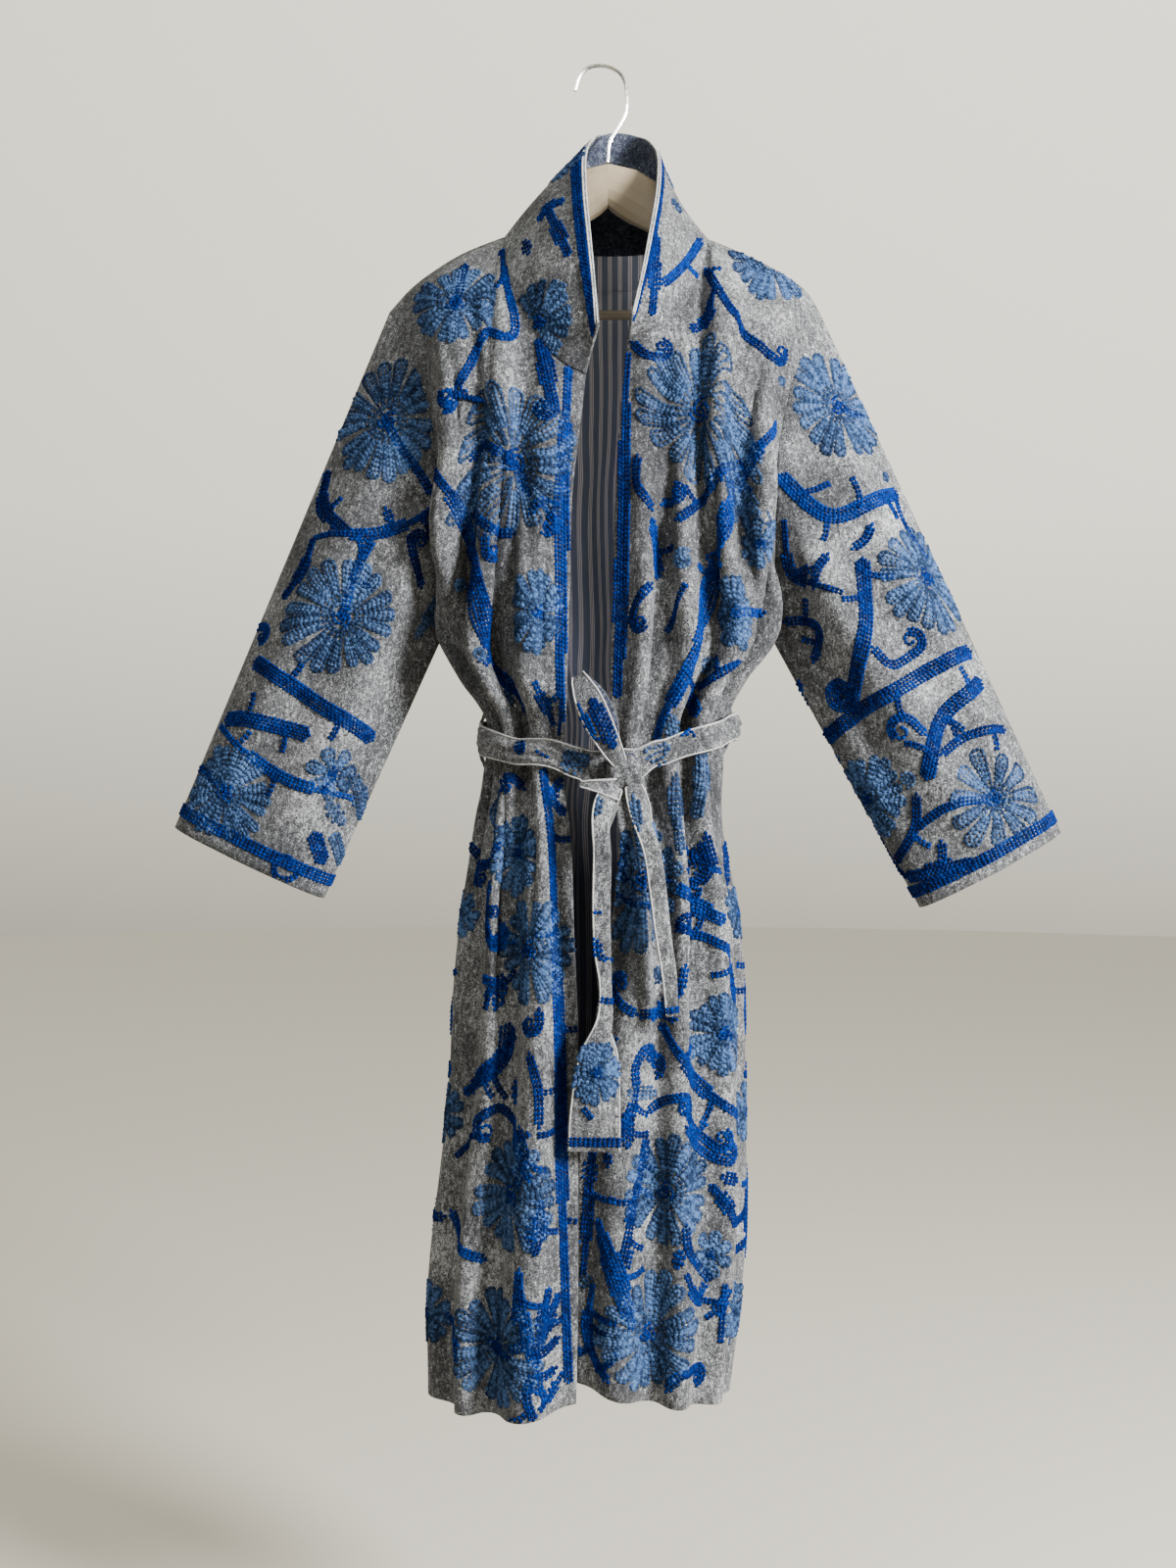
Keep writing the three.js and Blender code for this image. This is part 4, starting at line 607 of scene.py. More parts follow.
def sash_at(angle):
    table = np.array(SASH, float)
    i = np.clip(np.searchsorted(table[:, 0], angle, side="left") - 1, 0, len(SASH) - 2)
    k = smooth((angle - table[i, 0]) / (table[i + 1, 0] - table[i, 0]))
    pair = table[i, 1:] * (1 - k)[..., None] + table[i + 1, 1:] * k[..., None]
    return pair[..., 0], pair[..., 1]


def sash_panel(panels):
    """The sash lies on the outermost folds of the cloth it gathers."""
    near = []
    for panel in panels:
        p = panel["points"] + panel["normals"] * (CLOTH_WALL / 2)
        angle = np.arctan2(p[..., 1] - SASH_CENTRE[1], p[..., 0] - SASH_CENTRE[0]) / DEGREE
        height, _ = sash_at(angle)
        near.append(p[np.abs(p[..., 2] - height) < SASH_NEAR][:, :2] - SASH_CENTRE)
    outline = convex_outline(np.concatenate(near))[::-1]
    length = np.r_[0, np.cumsum(np.linalg.norm(np.roll(outline, -1, 0) - outline, axis=1))]
    closed = np.vstack([outline, outline[:1]])
    stops = np.linspace(0, length[-1], SASH_COLUMNS, endpoint=False)
    loop = np.stack([np.interp(stops, length, closed[:, k]) for k in (0, 1)], 1)
    for _ in range(3):
        loop = (np.roll(loop, 1, 0) + 2 * loop + np.roll(loop, -1, 0)) / 4
    step = np.roll(loop, -1, 0) - np.roll(loop, 1, 0)
    outward = unit(np.stack([-step[:, 1], step[:, 0]], 1))
    loop = loop + outward * (SEAM_GAP + SASH_CLEAR + BELT_WALL / 2)
    height, half = sash_at(np.arctan2(loop[:, 1], loop[:, 0]) / DEGREE)
    points = np.zeros((SASH_ROWS, SASH_COLUMNS, 3))
    turn = TAU * np.arange(SASH_COLUMNS) / SASH_COLUMNS
    for r in range(SASH_ROWS):
        v = 1 - 2 * r / (SASH_ROWS - 1)
        pleats = 0.9 * np.cos(TAU * (1.1 * v + 0.35 * np.sin(3 * turn + 0.6)))
        pleats = pleats + 0.5 * np.cos(TAU * (2.1 * v - 0.4 * np.cos(2 * turn)))
        crown = 2.2 * (1 - v * v) + 1.4 * (1 + pleats) * (1 - v**4)
        points[r, :, :2] = loop + SASH_CENTRE + outward * crown[:, None]
        points[r, :, 2] = height + half * v * (1 + 0.1 * np.sin(7 * turn + 1.5 * v)) + 1.2 * np.sin(11 * turn)
    return {"points": points, "normals": grid_normals(points, 1, True), "flip": 1, "closed": True}


def ribbon_panel(table, columns, flip):
    last = (len(table) - 1) * RIBBON_STEPS
    t = np.arange(last + 1) / RIBBON_STEPS
    centre = along([n[0] for n in table], t)
    ends = np.concatenate([centre[:1], centre, centre[-1:]])
    path = unit(ends[2:] - ends[:-2])
    wanted = along([n[1] for n in table], t)
    across = unit(wanted - path * (wanted * path).sum(1, keepdims=True))
    deep = np.cross(path, across)
    width = along([n[2] for n in table], t)
    fold = along([n[3] for n in table], t) * DEGREE
    s = (np.arange(columns) + 0.5) / columns
    heading = fold[:, None] * (smooth((s - 0.32) / 0.36) - 0.5)[None]
    flat = np.stack([np.cos(heading), np.sin(heading)], 2) * (width / columns)[:, None, None]
    flat = np.concatenate([np.zeros((last + 1, 1, 2)), np.cumsum(flat, 1)], 1)
    flat = flat - (flat[:, :1] + flat[:, -1:]) / 2
    points = centre[:, None] + across[:, None] * flat[..., :1] + deep[:, None] * flat[..., 1:]
    return {"points": points, "normals": grid_normals(points, flip), "flip": flip, "closed": False}


# ---------------------------------------------------------------- meshes

def place(piece, name, finish):
    piece.name = name
    bpy.context.scene.collection.objects.link(piece)
    if finish:
        piece.data.materials.clear()
        piece.data.materials.append(finish)
    return piece


def mesh_piece(name, points, faces, finish, uv=None):
    mesh = bpy.data.meshes.new(name)
    mesh.from_pydata((np.asarray(points) * MM).tolist(), [], [list(map(int, f)) for f in faces])
    mesh.polygons.foreach_set("use_smooth", [True] * len(mesh.polygons))
    if uv is not None:
        layer = mesh.uv_layers.new(name="cloth")
        loops = np.empty(len(mesh.loops), int)
        mesh.loops.foreach_get("vertex_index", loops)
        layer.data.foreach_set("uv", np.asarray(uv)[loops].ravel())
    mesh.update()
    return place(bpy.data.objects.new(name, mesh), name, finish)


def sheet_shell(panel, wall, inside=None):
    """A closed sheet round a grid: outer face, inner face, and a rounded edge between them."""
    points, normals, flip, closed = panel["points"], panel["normals"], panel["flip"], panel["closed"]
    rows, columns = points.shape[:2]
    high, low = (wall / 2, -wall / 2) if inside is None else inside
    outer = points + normals * high
    inner = points + normals * low
    number = np.arange(rows * columns).reshape(rows, columns)
    back = number + rows * columns
    if closed:
        wrap = np.concatenate([number, number[:, :1]], 1)
        wrap_back = np.concatenate([back, back[:, :1]], 1)
    else:
        wrap, wrap_back = number, back

    def quads(a, b, c, d):
        q = np.stack([a, b, c, d], -1).reshape(-1, 4)
        return q if flip > 0 else q[:, ::-1]

    faces = [
        quads(wrap[:-1, :-1], wrap[:-1, 1:], wrap[1:, 1:], wrap[1:, :-1]),
        quads(wrap_back[:-1, :-1], wrap_back[1:, :-1], wrap_back[1:, 1:], wrap_back[:-1, 1:]),
    ]
    middle = (outer + inner) / 2
    extra, count = [], 2 * rows * columns

    def rim(line, neighbour, first, second):
        """A rounded edge: one row of points between the outer and the inner face."""
        nonlocal count
        ids = np.arange(len(line)) + count
        extra.append(line + unit(line - neighbour) * (high - low) * EDGE_SWELL)
        count += len(line)
        if closed:
            ids = np.append(ids, ids[0])
        faces.append(quads(first[:-1], first[1:], ids[1:], ids[:-1]))
        faces.append(quads(ids[:-1], ids[1:], second[1:], second[:-1]))

    rim(middle[0], middle[1], wrap_back[0], wrap[0])
    rim(middle[-1], middle[-2], wrap[-1], wrap_back[-1])
    if not closed:
        rim(middle[:, 0], middle[:, 1], wrap_back[:, 0], wrap[:, 0])
        rim(middle[:, -1], middle[:, -2], wrap_back[:, -1], wrap[:, -1])
    vertices = np.concatenate([outer.reshape(-1, 3), inner.reshape(-1, 3)] + extra)
    return vertices, np.concatenate(faces)


def closed_outward(piece):
    """Merges doubles and turns every face of a closed shell outwards."""
    work = bmesh.new()
    work.from_mesh(piece.data)
    bmesh.ops.remove_doubles(work, verts=work.verts, dist=1e-6)
    bmesh.ops.recalc_face_normals(work, faces=work.faces)
    if work.calc_volume(signed=True) < 0:
        bmesh.ops.reverse_faces(work, faces=work.faces)
    work.to_mesh(piece.data)
    work.free()
    return piece


def ride_on_frame(piece, slot, *nodes):
    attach(piece, "root")
    if nodes:
        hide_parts(*nodes)


# ---------------------------------------------------------------- where stitching goes

class Cloth:
    """A panel's outer face as a surface that stitching can be laid on."""

    def __init__(self, panel, wall):
        self.closed = panel["closed"]
        face = panel["points"] + panel["normals"] * (wall / 2)
        normal = panel["normals"]
        if self.closed:
            face = np.concatenate([face, face[:, :1]], 1)
            normal = np.concatenate([normal, normal[:, :1]], 1)
        self.face, self.normal = face, normal
        self.rows, self.columns = face.shape[0] - 1, face.shape[1] - 1
        depth = (face[..., 1] - VIEW["y"]) / -(VIEW["y"] - VIEW_PLANE)
        right, aside, rise = face[..., 0] - VIEW["x"], face[..., 1] - SIDE_DEPTH, face[..., 2] - VIEW["z"]
        self.looks = {
            "front": (600 + right / VIEW_STEP / depth, 800 - rise / VIEW_STEP / depth, 1, -1),
            "behind": (600 + right / VIEW_STEP, 800 - rise / VIEW_STEP, 1, 1),
            "left": (600 + aside / VIEW_STEP, 800 - rise / VIEW_STEP, 0, -1),
            "right": (600 + aside / VIEW_STEP, 800 - rise / VIEW_STEP, 0, 1),
        }

    def sample(self, grid, c, r):
        if self.closed:
            c = np.mod(c, self.columns)
        c = np.clip(c, 0, self.columns - 1e-6)
        r = np.clip(r, 0, self.rows - 1e-6)
        i, j = r.astype(int), c.astype(int)
        v, u = (r - i)[..., None], (c - j)[..., None]
        upper = grid[i, j] * (1 - u) + grid[i, j + 1] * u
        lower = grid[i + 1, j] * (1 - u) + grid[i + 1, j + 1] * u
        return upper * (1 - v) + lower * v

    def slopes(self, c, r, reach=0.5):
        across = (self.sample(self.face, c + reach, r) - self.sample(self.face, c - reach, r)) / (2 * reach)
        down = (self.sample(self.face, c, r + reach) - self.sample(self.face, c, r - reach)) / (2 * reach)
        return across, down

    def seat(self, across, down, look="front"):
        """Grid place of the cloth that shows at a place of a look at the robe, the nearest layer first."""
        x, y, axis, toward = self.looks[look]
        gap = np.hypot(x - across, y - down) + np.where(self.normal[..., axis] * toward > 0.05, 0, 25)
        close = gap < max(9.0, gap.min() + 3)
        lead = (self.face[..., axis] * toward)[close].max()
        gap = gap + np.where(self.face[..., axis] * toward > lead - 16, 0, 40)
        r, c = np.unravel_index(int(gap.argmin()), gap.shape)
        c, r = float(c), float(r)
        sheet = np.stack([x, y], -1)
        for _ in range(2):
            here, left, right, above, below = (
                self.sample(sheet, np.array(c + aside), np.array(r + ahead))
                for aside, ahead in ((0, 0), (-0.5, 0), (0.5, 0), (0, -0.5), (0, 0.5))
            )
            dc, dr = right - left, below - above
            det = dc[0] * dr[1] - dc[1] * dr[0]
            if abs(det) < 0.5:
                break
            e = np.array([across, down]) - here
            c += float(np.clip((e[0] * dr[1] - e[1] * dr[0]) / det, -1, 1))
            r += float(np.clip((dc[0] * e[1] - dc[1] * e[0]) / det, -1, 1))
        return np.array([c, r])

    def nearest_turn(self, step):
        """A step across a tube's grid is taken the short way round."""
        if self.closed:
            step = step - np.array([self.columns * round(step[0] / self.columns), 0])
        return step

    def flat_frame(self, seat):
        """Columns turn flat millimetres (to the right, down the cloth) into grid steps."""
        beside, along_it = np.repeat([-4, 0, 4], 3), np.tile([-3, 0, 3], 3)
        dc, dr = self.slopes(seat[0] + beside, seat[1] + along_it)
        gcc, grr, gcr = (dc * dc).sum(1).mean(), (dr * dr).sum(1).mean(), (dc * dr).sum(1).mean()
        down = np.array([0, 1]) / math.sqrt(grr)
        right = np.array([1, -gcr / grr]) / math.sqrt(max(gcc - gcr**2 / grr, 1e-6))
        step = self.slopes(np.array([seat[0]]), np.array([seat[1]]))[0][0]
        if step[0] < 0:
            right = -right
        return np.stack([right, down], 1)

    def from_flat(self, seat, flat):
        return seat + np.asarray(flat, float) @ self.flat_frame(seat).T

    def offset(self, path, across):
        """A line beside a grid path, a distance in millimetres away along the cloth."""
        face = self.sample(self.face, path[:, 0], path[:, 1])
        normal = self.sample(self.normal, path[:, 0], path[:, 1])
        side = unit(np.cross(unit(np.gradient(face, axis=0)), normal))
        want = side * np.reshape(across, (-1, 1))
        dc, dr = self.slopes(path[:, 0], path[:, 1])
        gcc, grr, gcr = (dc * dc).sum(1), (dr * dr).sum(1), (dc * dr).sum(1)
        wc, wr = (want * dc).sum(1), (want * dr).sum(1)
        det = np.maximum(gcc * grr - gcr**2, 1e-6)
        return path + np.stack([(wc * grr - wr * gcr) / det, (wr * gcc - wc * gcr) / det], 1)


def even_path(cloth, marks, step=2.0):
    """A smooth line through grid marks, cut into even lengths of cloth."""
    marks = np.asarray(marks, float)
    if cloth.closed:
        for i in range(1, len(marks)):
            marks[i, 0] -= cloth.columns * round((marks[i, 0] - marks[i - 1, 0]) / cloth.columns)
    t = np.linspace(0, len(marks) - 1, 24 * (len(marks) - 1) + 1)
    line = along(marks, t)
    face = cloth.sample(cloth.face, line[:, 0], line[:, 1])
    run = np.r_[0, np.cumsum(np.linalg.norm(np.diff(face, axis=0), axis=1))]
    count = max(3, int(run[-1] / step) + 1)
    stops = np.linspace(0, run[-1], count)
    return np.stack([np.interp(stops, run, line[:, k]) for k in (0, 1)], 1), stops, np.interp(stops, run, t)


# ---------------------------------------------------------------- chain stitch motifs

ROYAL_PITCH = 3.1
DENIM_PITCH = 3.5
CURL_TURNS, CURL_MARKS = 1.05, 9
rng = np.random.default_rng(11)


class Stitching:
    """Rows of chain stitch gathered for one panel, one list for each thread."""

    def __init__(self, name, cloth):
        self.name, self.cloth = name, cloth
        self.rows = {"royal": [], "denim": []}

    def row(self, thread, path, tone, keep=None, lift=0.0):
        cloth = self.cloth
        inside = (path[:, 1] > 0.2) & (path[:, 1] < cloth.rows - 0.2)
        if not cloth.closed:
            inside &= (path[:, 0] > 0.4) & (path[:, 0] < cloth.columns - 0.4)
        if keep is not None:
            inside &= keep
        start = 0
        while start < len(path):
            if not inside[start]:
                start += 1
                continue
            stop = start
            while stop < len(path) and inside[stop]:
                stop += 1
            if stop - start > 1:
                piece = path[start:stop]
                face = cloth.sample(cloth.face, piece[:, 0], piece[:, 1])
                up = unit(cloth.sample(cloth.normal, piece[:, 0], piece[:, 1]))
                self.rows[thread].append((face + up * lift, up, tone))
            start = stop

    def vine(self, line, look="front"):
        """A filled line with blunt round ends; it may end in a curl and carry short twigs."""
        cloth, thread, curl = self.cloth, line["thread"], line["curl"]
        seats = [cloth.seat(a, d, look) for a, d in line["marks"]]
        wide = list(along(line["widths"], np.linspace(0, 2, len(seats))))
        if curl:
            flat = cloth.flat_frame(seats[-1])
            travel = unit(np.linalg.inv(flat) @ cloth.nearest_turn(seats[-1] - seats[-2]))
            hand, radius = (1, curl) if curl > 0 else (-1, -curl)
            outward = hand * np.array([travel[1], -travel[0]])
            centre = seats[-1] - flat @ (outward * radius)
            k = np.linspace(0, 1, CURL_MARKS + 1)[1:]
            angle = math.atan2(outward[1], outward[0]) + hand * TAU * CURL_TURNS * k
            reach = radius * (1 - 0.78 * k)
            ring = np.stack([np.cos(angle), np.sin(angle)], 1) * reach[:, None]
            seats += list(cloth.from_flat(centre, ring))
            wide += list(wide[-1] * (1 - 0.1 * k[:-1])) + [wide[-1] * 1.25]
        path, run, t = even_path(cloth, seats)
        self.fill(thread, path, run, along(wide, t))
        for n in range(line["twigs"]):
            straight = min(1, len(line["marks"]) / len(seats))
            place = int(len(path) * (n + 0.7) / (line["twigs"] + 0.4) * straight)
            place = min(max(place, 2), len(path) - 3)
            ahead = path[place + 2] - path[place - 2]
            flat = np.linalg.inv(cloth.flat_frame(path[place])) @ ahead
            heading = math.atan2(flat[1], flat[0]) + (1 if n % 2 else -1) * rng.uniform(0.85, 1.15)
            size = wide[min(int(t[place]), len(wide) - 1)]
            length = size / 2 + rng.uniform(13, 21)
            steps = np.linspace(0, 1, 4)
            bend = heading + (1 if n % 2 else -1) * 0.35 * steps
            twig = np.stack([np.cos(bend), np.sin(bend)], 1) * (length * steps)[:, None]
            stub, stub_run, _ = even_path(cloth, cloth.from_flat(path[place], twig))
            self.fill(thread, stub, stub_run, np.full(len(stub), float(np.clip(size * 0.7, 7, 11))))

    def fill(self, thread, path, run, width):
        """Rows side by side along a path, as many as its width holds, with a round end."""
        pitch = ROYAL_PITCH if thread == "royal" else DENIM_PITCH
        cap = np.clip(np.minimum(run, run[-1] - run) / np.maximum(width / 2, 0.1), 0, 1)
        width = width * np.sqrt(np.clip(1 - (1 - cap) ** 2, 0.04, 1))
        most = int(max(1, round(width.max() / pitch)))
        tone = rng.uniform(0.35, 0.65)
        for n in range(most):
            aside = (n - (most - 1) / 2) * pitch
            keep = np.abs(aside) <= np.maximum(width / 2 - pitch * 0.35, 0.2)
            if most == 1:
                self.row(thread, path, tone)
            elif keep.sum() > 2:
                beside = self.cloth.offset(path, np.full(len(path), aside))
                self.row(thread, beside, tone + rng.uniform(-0.12, 0.12), keep)

    def flower(self, across, down, radius, petals=6, fingers=3, turn=0.0, look="front"):
        """A fan flower: petals of round-tipped fingers, each filled with nested loops of rows."""
        cloth = self.cloth
        seat = cloth.seat(across, down, look)
        for p in range(petals):
            middle = (turn + 360 * (p + 0.5) / petals + rng.uniform(-3, 3)) * DEGREE
            half = (180 / petals - 3.0) * DEGREE
            size = radius * rng.uniform(0.9, 1.05)
            petal_tone = rng.uniform(0.46, 0.68)
            for f in range(fingers):
                place = 2 * (f + 0.5) / fingers - 1
                angle = middle + half * place
                spread = half / fingers
                tip = size * (1 - 0.13 * place**2) * rng.uniform(0.96, 1.03)
                tone = petal_tone + rng.uniform(-0.1, 0.1)
                first_root = 0.14 if f == 0 else 0.24
                last_root = 0.14 if f == fingers - 1 else 0.24
                for share, roots in ((0.72, (first_root, last_root)), (0.24, (0.42, 0.42))):
                    bend = share * spread
                    cap = tip * bend
                    crown = tip - cap - (0 if share > 0.5 else 0.48 * spread * tip * 0.8)
                    out = np.linspace(roots[0] * size, crown, 8)
                    home = np.linspace(crown, roots[1] * size, 8)
                    up_side = np.stack([np.cos(angle - bend) * out, np.sin(angle - bend) * out], 1)
                    down_side = np.stack([np.cos(angle + bend) * home, np.sin(angle + bend) * home], 1)
                    arc = np.linspace(-90, 90, 6)[1:-1] * DEGREE + angle
                    top = np.array([math.cos(angle), math.sin(angle)]) * crown
                    tips = top + np.stack([np.cos(arc), np.sin(arc)], 1) * cap
                    shade = tone + (0.14 if share < 0.5 else -0.1)
                    loop = np.concatenate([up_side, tips, down_side])
                    self.row("denim", cloth.from_flat(seat, loop), shade)
        k = np.linspace(0, 1, 14)
        for n in range(3):
            angle = TAU * (0.45 * k + n / 3)
            ring = np.stack([np.cos(angle), np.sin(angle)], 1) * (radius * (0.04 + 0.12 * k))[:, None]
            self.row("royal", cloth.from_flat(seat, ring), 0.5, lift=0.4)

    def bud(self, across, down, radius, look="front"):
        """A round bud: one row wound out from the middle."""
        seat = self.cloth.seat(across, down, look)
        turns = radius / DENIM_PITCH
        k = np.linspace(0.04, 1, max(12, int(turns * 12)))
        ring = np.stack([np.cos(TAU * turns * k), np.sin(TAU * turns * k)], 1) * (radius * k)[:, None]
        self.row("denim", self.cloth.from_flat(seat, ring), rng.uniform(0.3, 0.7))

    def round_edge(self, inset, rows, c_from, c_to):
        """Rows beside the last row of the grid: a cuff, a ribbon's end or a collar's free edge."""
        cloth = self.cloth
        c = np.linspace(c_from, c_to, int((c_to - c_from) * 1.5))
        for n in range(rows):
            dr = np.linalg.norm(cloth.slopes(c, np.full(len(c), cloth.rows - 0.8))[1], axis=1)
            line = np.stack([c, cloth.rows - (inset + n * ROYAL_PITCH) / dr], 1)
            self.row("royal", line, 0.5 + rng.uniform(-0.1, 0.1))

    def motifs(self, flowers=(), vines=(), buds=(), look="front"):
        for flower in flowers:
            self.flower(*flower, look=look)
        for line in vines:
            self.vine(line, look)
        for one in buds:
            self.bud(*one, look=look)


# ---------------------------------------------------------------- the motifs, panel by panel

# Places are counted in steps of the viewing plane, widths and radii in millimetres of cloth.
# Flower: across, down, radius, petals, fingers, turn.
# Vine: its widths, where it starts, where it ends, how far it bows aside, then what it may have:
# a curl (its radius, below nothing when it turns the other way), a number of twigs, and the thread.

HAIR = (4, 5, 4)
THIN = (6.5, 7.5, 6.5)
STEM = (7, 9, 7)
LEAF = (8, 11.5, 8)
BROAD = (9, 14, 9)
BAND = (10.5, 11.5, 10.5)
BAR = (13, 15, 13)
SWELL = (8, 17, 8)
VINE_SPREAD = 1.35


def vine(widths, start, end, bow=0, curl=0, twigs=0, thread="royal"):
    chord = np.subtract(end, start)
    middle = np.add(start, end) / 2 + unit([-chord[1], chord[0]]) * bow
    widths = [w * VINE_SPREAD for w in widths]
    return {"widths": widths, "marks": (start, middle, end), "curl": curl, "twigs": twigs, "thread": thread}


FRONT_LEFT_FLOWERS = [
    (465, 310, 52, 6, 3, 8), (525, 470, 72, 6, 3, 20), (550, 625, 40, 6, 3, 0), (530, 870, 40, 6, 3, 10),
    (540, 970, 53, 6, 3, 25), (520, 1220, 57, 6, 3, 15), (510, 1375, 57, 6, 3, 0),
]
FRONT_LEFT_VINES = [
    vine(THIN, (530, 1150), (525, 1215), -8, twigs=1), vine(STEM, (545, 1240), (540, 1275)),
    vine(STEM, (530, 1300), (555, 1430), 4, twigs=3), vine(LEAF, (570, 1320), (550, 1375)),
    vine(STEM, (575, 1400), (550, 1440)), vine(STEM, (455, 1340), (465, 1390)),
    vine(LEAF, (525, 1055), (475, 1115), -4, twigs=1), vine(THIN, (500, 900), (500, 960), 8, curl=-9),
    vine(STEM, (515, 995), (495, 1030), 4), vine(THIN, (525, 245), (465, 410), -32, curl=9, twigs=2),
    vine(THIN, (475, 270), (465, 315)), vine(BROAD, (550, 345), (565, 415), curl=10, twigs=1),
    vine(THIN, (480, 470), (540, 505), -20), vine(THIN, (480, 525), (525, 545), 4, twigs=1),
    vine(THIN, (495, 545), (495, 560), curl=-9), vine(THIN, (540, 525), (565, 530), -16, curl=9),
    vine(SWELL, (445, 480), (535, 725), 4, twigs=2), vine(STEM, (545, 695), (565, 740), twigs=1),
    vine(BAND, (580, 375), (575, 750), 4), vine(BROAD, (505, 810), (510, 850), thread="denim"),
    vine(THIN, (535, 805), (525, 795), curl=-10), vine(LEAF, (575, 795), (575, 830), 12),
    vine(THIN, (510, 860), (490, 885), curl=-9), vine(BROAD, (490, 930), (510, 930)),
    vine(THIN, (510, 940), (515, 955), curl=10), vine(THIN, (490, 995), (505, 1030), -16, twigs=1),
    vine(LEAF, (555, 785), (580, 1410), -4, twigs=6), vine(THIN, (550, 1030), (550, 1045), curl=10),
    vine(THIN, (540, 1075), (550, 1150), -4, twigs=1), vine(BAR, (520, 1045), (480, 1110), -12, twigs=1),
    vine(STEM, (525, 1100), (525, 1125)), vine(THIN, (525, 1145), (490, 1140), 12, curl=-12),
    vine(HAIR, (490, 1160), (465, 1180)), vine(THIN, (525, 1140), (540, 1205), 4, twigs=2),
    vine(LEAF, (550, 1225), (545, 1280), -4, twigs=1), vine(THIN, (460, 1235), (495, 1285), 12),
    vine(THIN, (495, 1365), (520, 1385)), vine(THIN, (530, 1295), (525, 1350), twigs=1),
    vine(LEAF, (560, 1315), (550, 1370)), vine(THIN, (530, 1360), (570, 1365), 20),
    vine(THIN, (545, 1400), (545, 1450), 8, twigs=2), vine(LEAF, (555, 1450), (575, 1445)),
]
FRONT_LEFT_BUDS = [(469, 598, 7), (490, 667, 8), (518, 712, 8), (572, 1180, 5)]

FRONT_RIGHT_FLOWERS = [
    (785, 260, 46, 6, 3, 0), (715, 420, 78, 6, 3, 10), (775, 555, 24, 5, 2, 0), (750, 625, 35, 6, 3, 30),
    (655, 900, 62, 6, 3, 15), (740, 1055, 40, 6, 3, 0), (680, 1215, 55, 6, 3, 5), (725, 1280, 22, 7, 1, 0),
    (660, 1360, 55, 6, 3, 20),
]
FRONT_RIGHT_VINES = [
    vine(LEAF, (665, 1040), (695, 1010)), vine(THIN, (650, 1110), (655, 1075), -4, curl=9),
    vine(STEM, (650, 1110), (630, 1160), -4, twigs=2), vine(THIN, (660, 1160), (635, 1290), twigs=3),
    vine(STEM, (605, 1180), (595, 1300), twigs=2), vine(STEM, (605, 1310), (610, 1400), 8, twigs=2),
    vine(THIN, (695, 1120), (730, 1170), 8, curl=-10), vine(STEM, (745, 1315), (720, 1345), -4),
    vine(LEAF, (715, 860), (710, 915), -8, twigs=2), vine(THIN, (700, 1250), (725, 1305), 8),
    vine(THIN, (720, 275), (790, 365), 4, curl=-10, twigs=2), vine(LEAF, (725, 305), (705, 335), -8),
    vine(THIN, (765, 470), (690, 530), 4, twigs=2), vine(THIN, (650, 465), (665, 520), 8),
    vine(THIN, (675, 515), (690, 510), curl=-8), vine(THIN, (645, 350), (675, 365), 4, curl=-9),
    vine(BAND, (665, 530), (670, 590), twigs=1), vine(THIN, (665, 595), (645, 630), 4, curl=-9),
    vine(HAIR, (700, 595), (680, 645)), vine(SWELL, (795, 440), (670, 755), 8, twigs=3),
    vine(THIN, (840, 330), (825, 360)), vine(THIN, (750, 625), (780, 625)),
    vine(THIN, (710, 700), (755, 675), twigs=1), vine(BAR, (705, 705), (710, 730)),
    vine(BROAD, (685, 730), (690, 760), thread="denim"), vine(BAND, (640, 360), (630, 710)),
    vine(BAR, (715, 750), (710, 835), -4, thread="denim"),
    vine(BROAD, (690, 790), (690, 845), thread="denim"), vine(BROAD, (640, 860), (620, 965), 4, twigs=1),
    vine(THIN, (665, 920), (680, 930)), vine(STEM, (690, 830), (695, 870), thread="denim"),
    vine(STEM, (700, 865), (705, 890), -12), vine(THIN, (720, 850), (730, 885)),
    vine(BROAD, (690, 905), (740, 940), 4, twigs=1), vine(THIN, (690, 945), (750, 1025), -28, twigs=2),
    vine(THIN, (690, 950), (695, 940), curl=9), vine(THIN, (700, 985), (695, 1010)),
    vine(THIN, (650, 1035), (625, 1010), -4, curl=10), vine(THIN, (650, 1035), (690, 1040), -4),
    vine(THIN, (630, 1060), (600, 1075)), vine(LEAF, (675, 1045), (755, 1140), 12, twigs=2),
    vine(THIN, (670, 1100), (675, 1090), curl=-8), vine(LEAF, (640, 1115), (670, 1115), thread="denim"),
    vine(BAND, (640, 1135), (640, 1170), twigs=1), vine(THIN, (660, 1135), (695, 1120), -4, curl=10),
    vine(THIN, (700, 1150), (740, 1185), 8, curl=-9, twigs=1), vine(STEM, (735, 1200), (755, 1205)),
    vine(THIN, (660, 1170), (640, 1250), twigs=1), vine(LEAF, (605, 1175), (600, 1215)),
    vine(THIN, (620, 1175), (620, 1190)), vine(SWELL, (610, 1245), (645, 1355), twigs=1),
    vine(HAIR, (645, 1275), (640, 1295)), vine(LEAF, (725, 1210), (750, 1250), -4),
    vine(STEM, (695, 1275), (690, 1295)), vine(STEM, (700, 1300), (735, 1330), 12, twigs=1),
    vine(HAIR, (740, 1310), (735, 1370)), vine(THIN, (600, 1335), (620, 1410), 8, twigs=3),
    vine(THIN, (680, 1420), (710, 1395), -4, curl=8),
]
FRONT_RIGHT_BUDS = [
    (696, 570, 10), (760, 659, 6), (722, 678, 8), (671, 994, 8), (597, 1308, 7), (798, 388, 5),
]

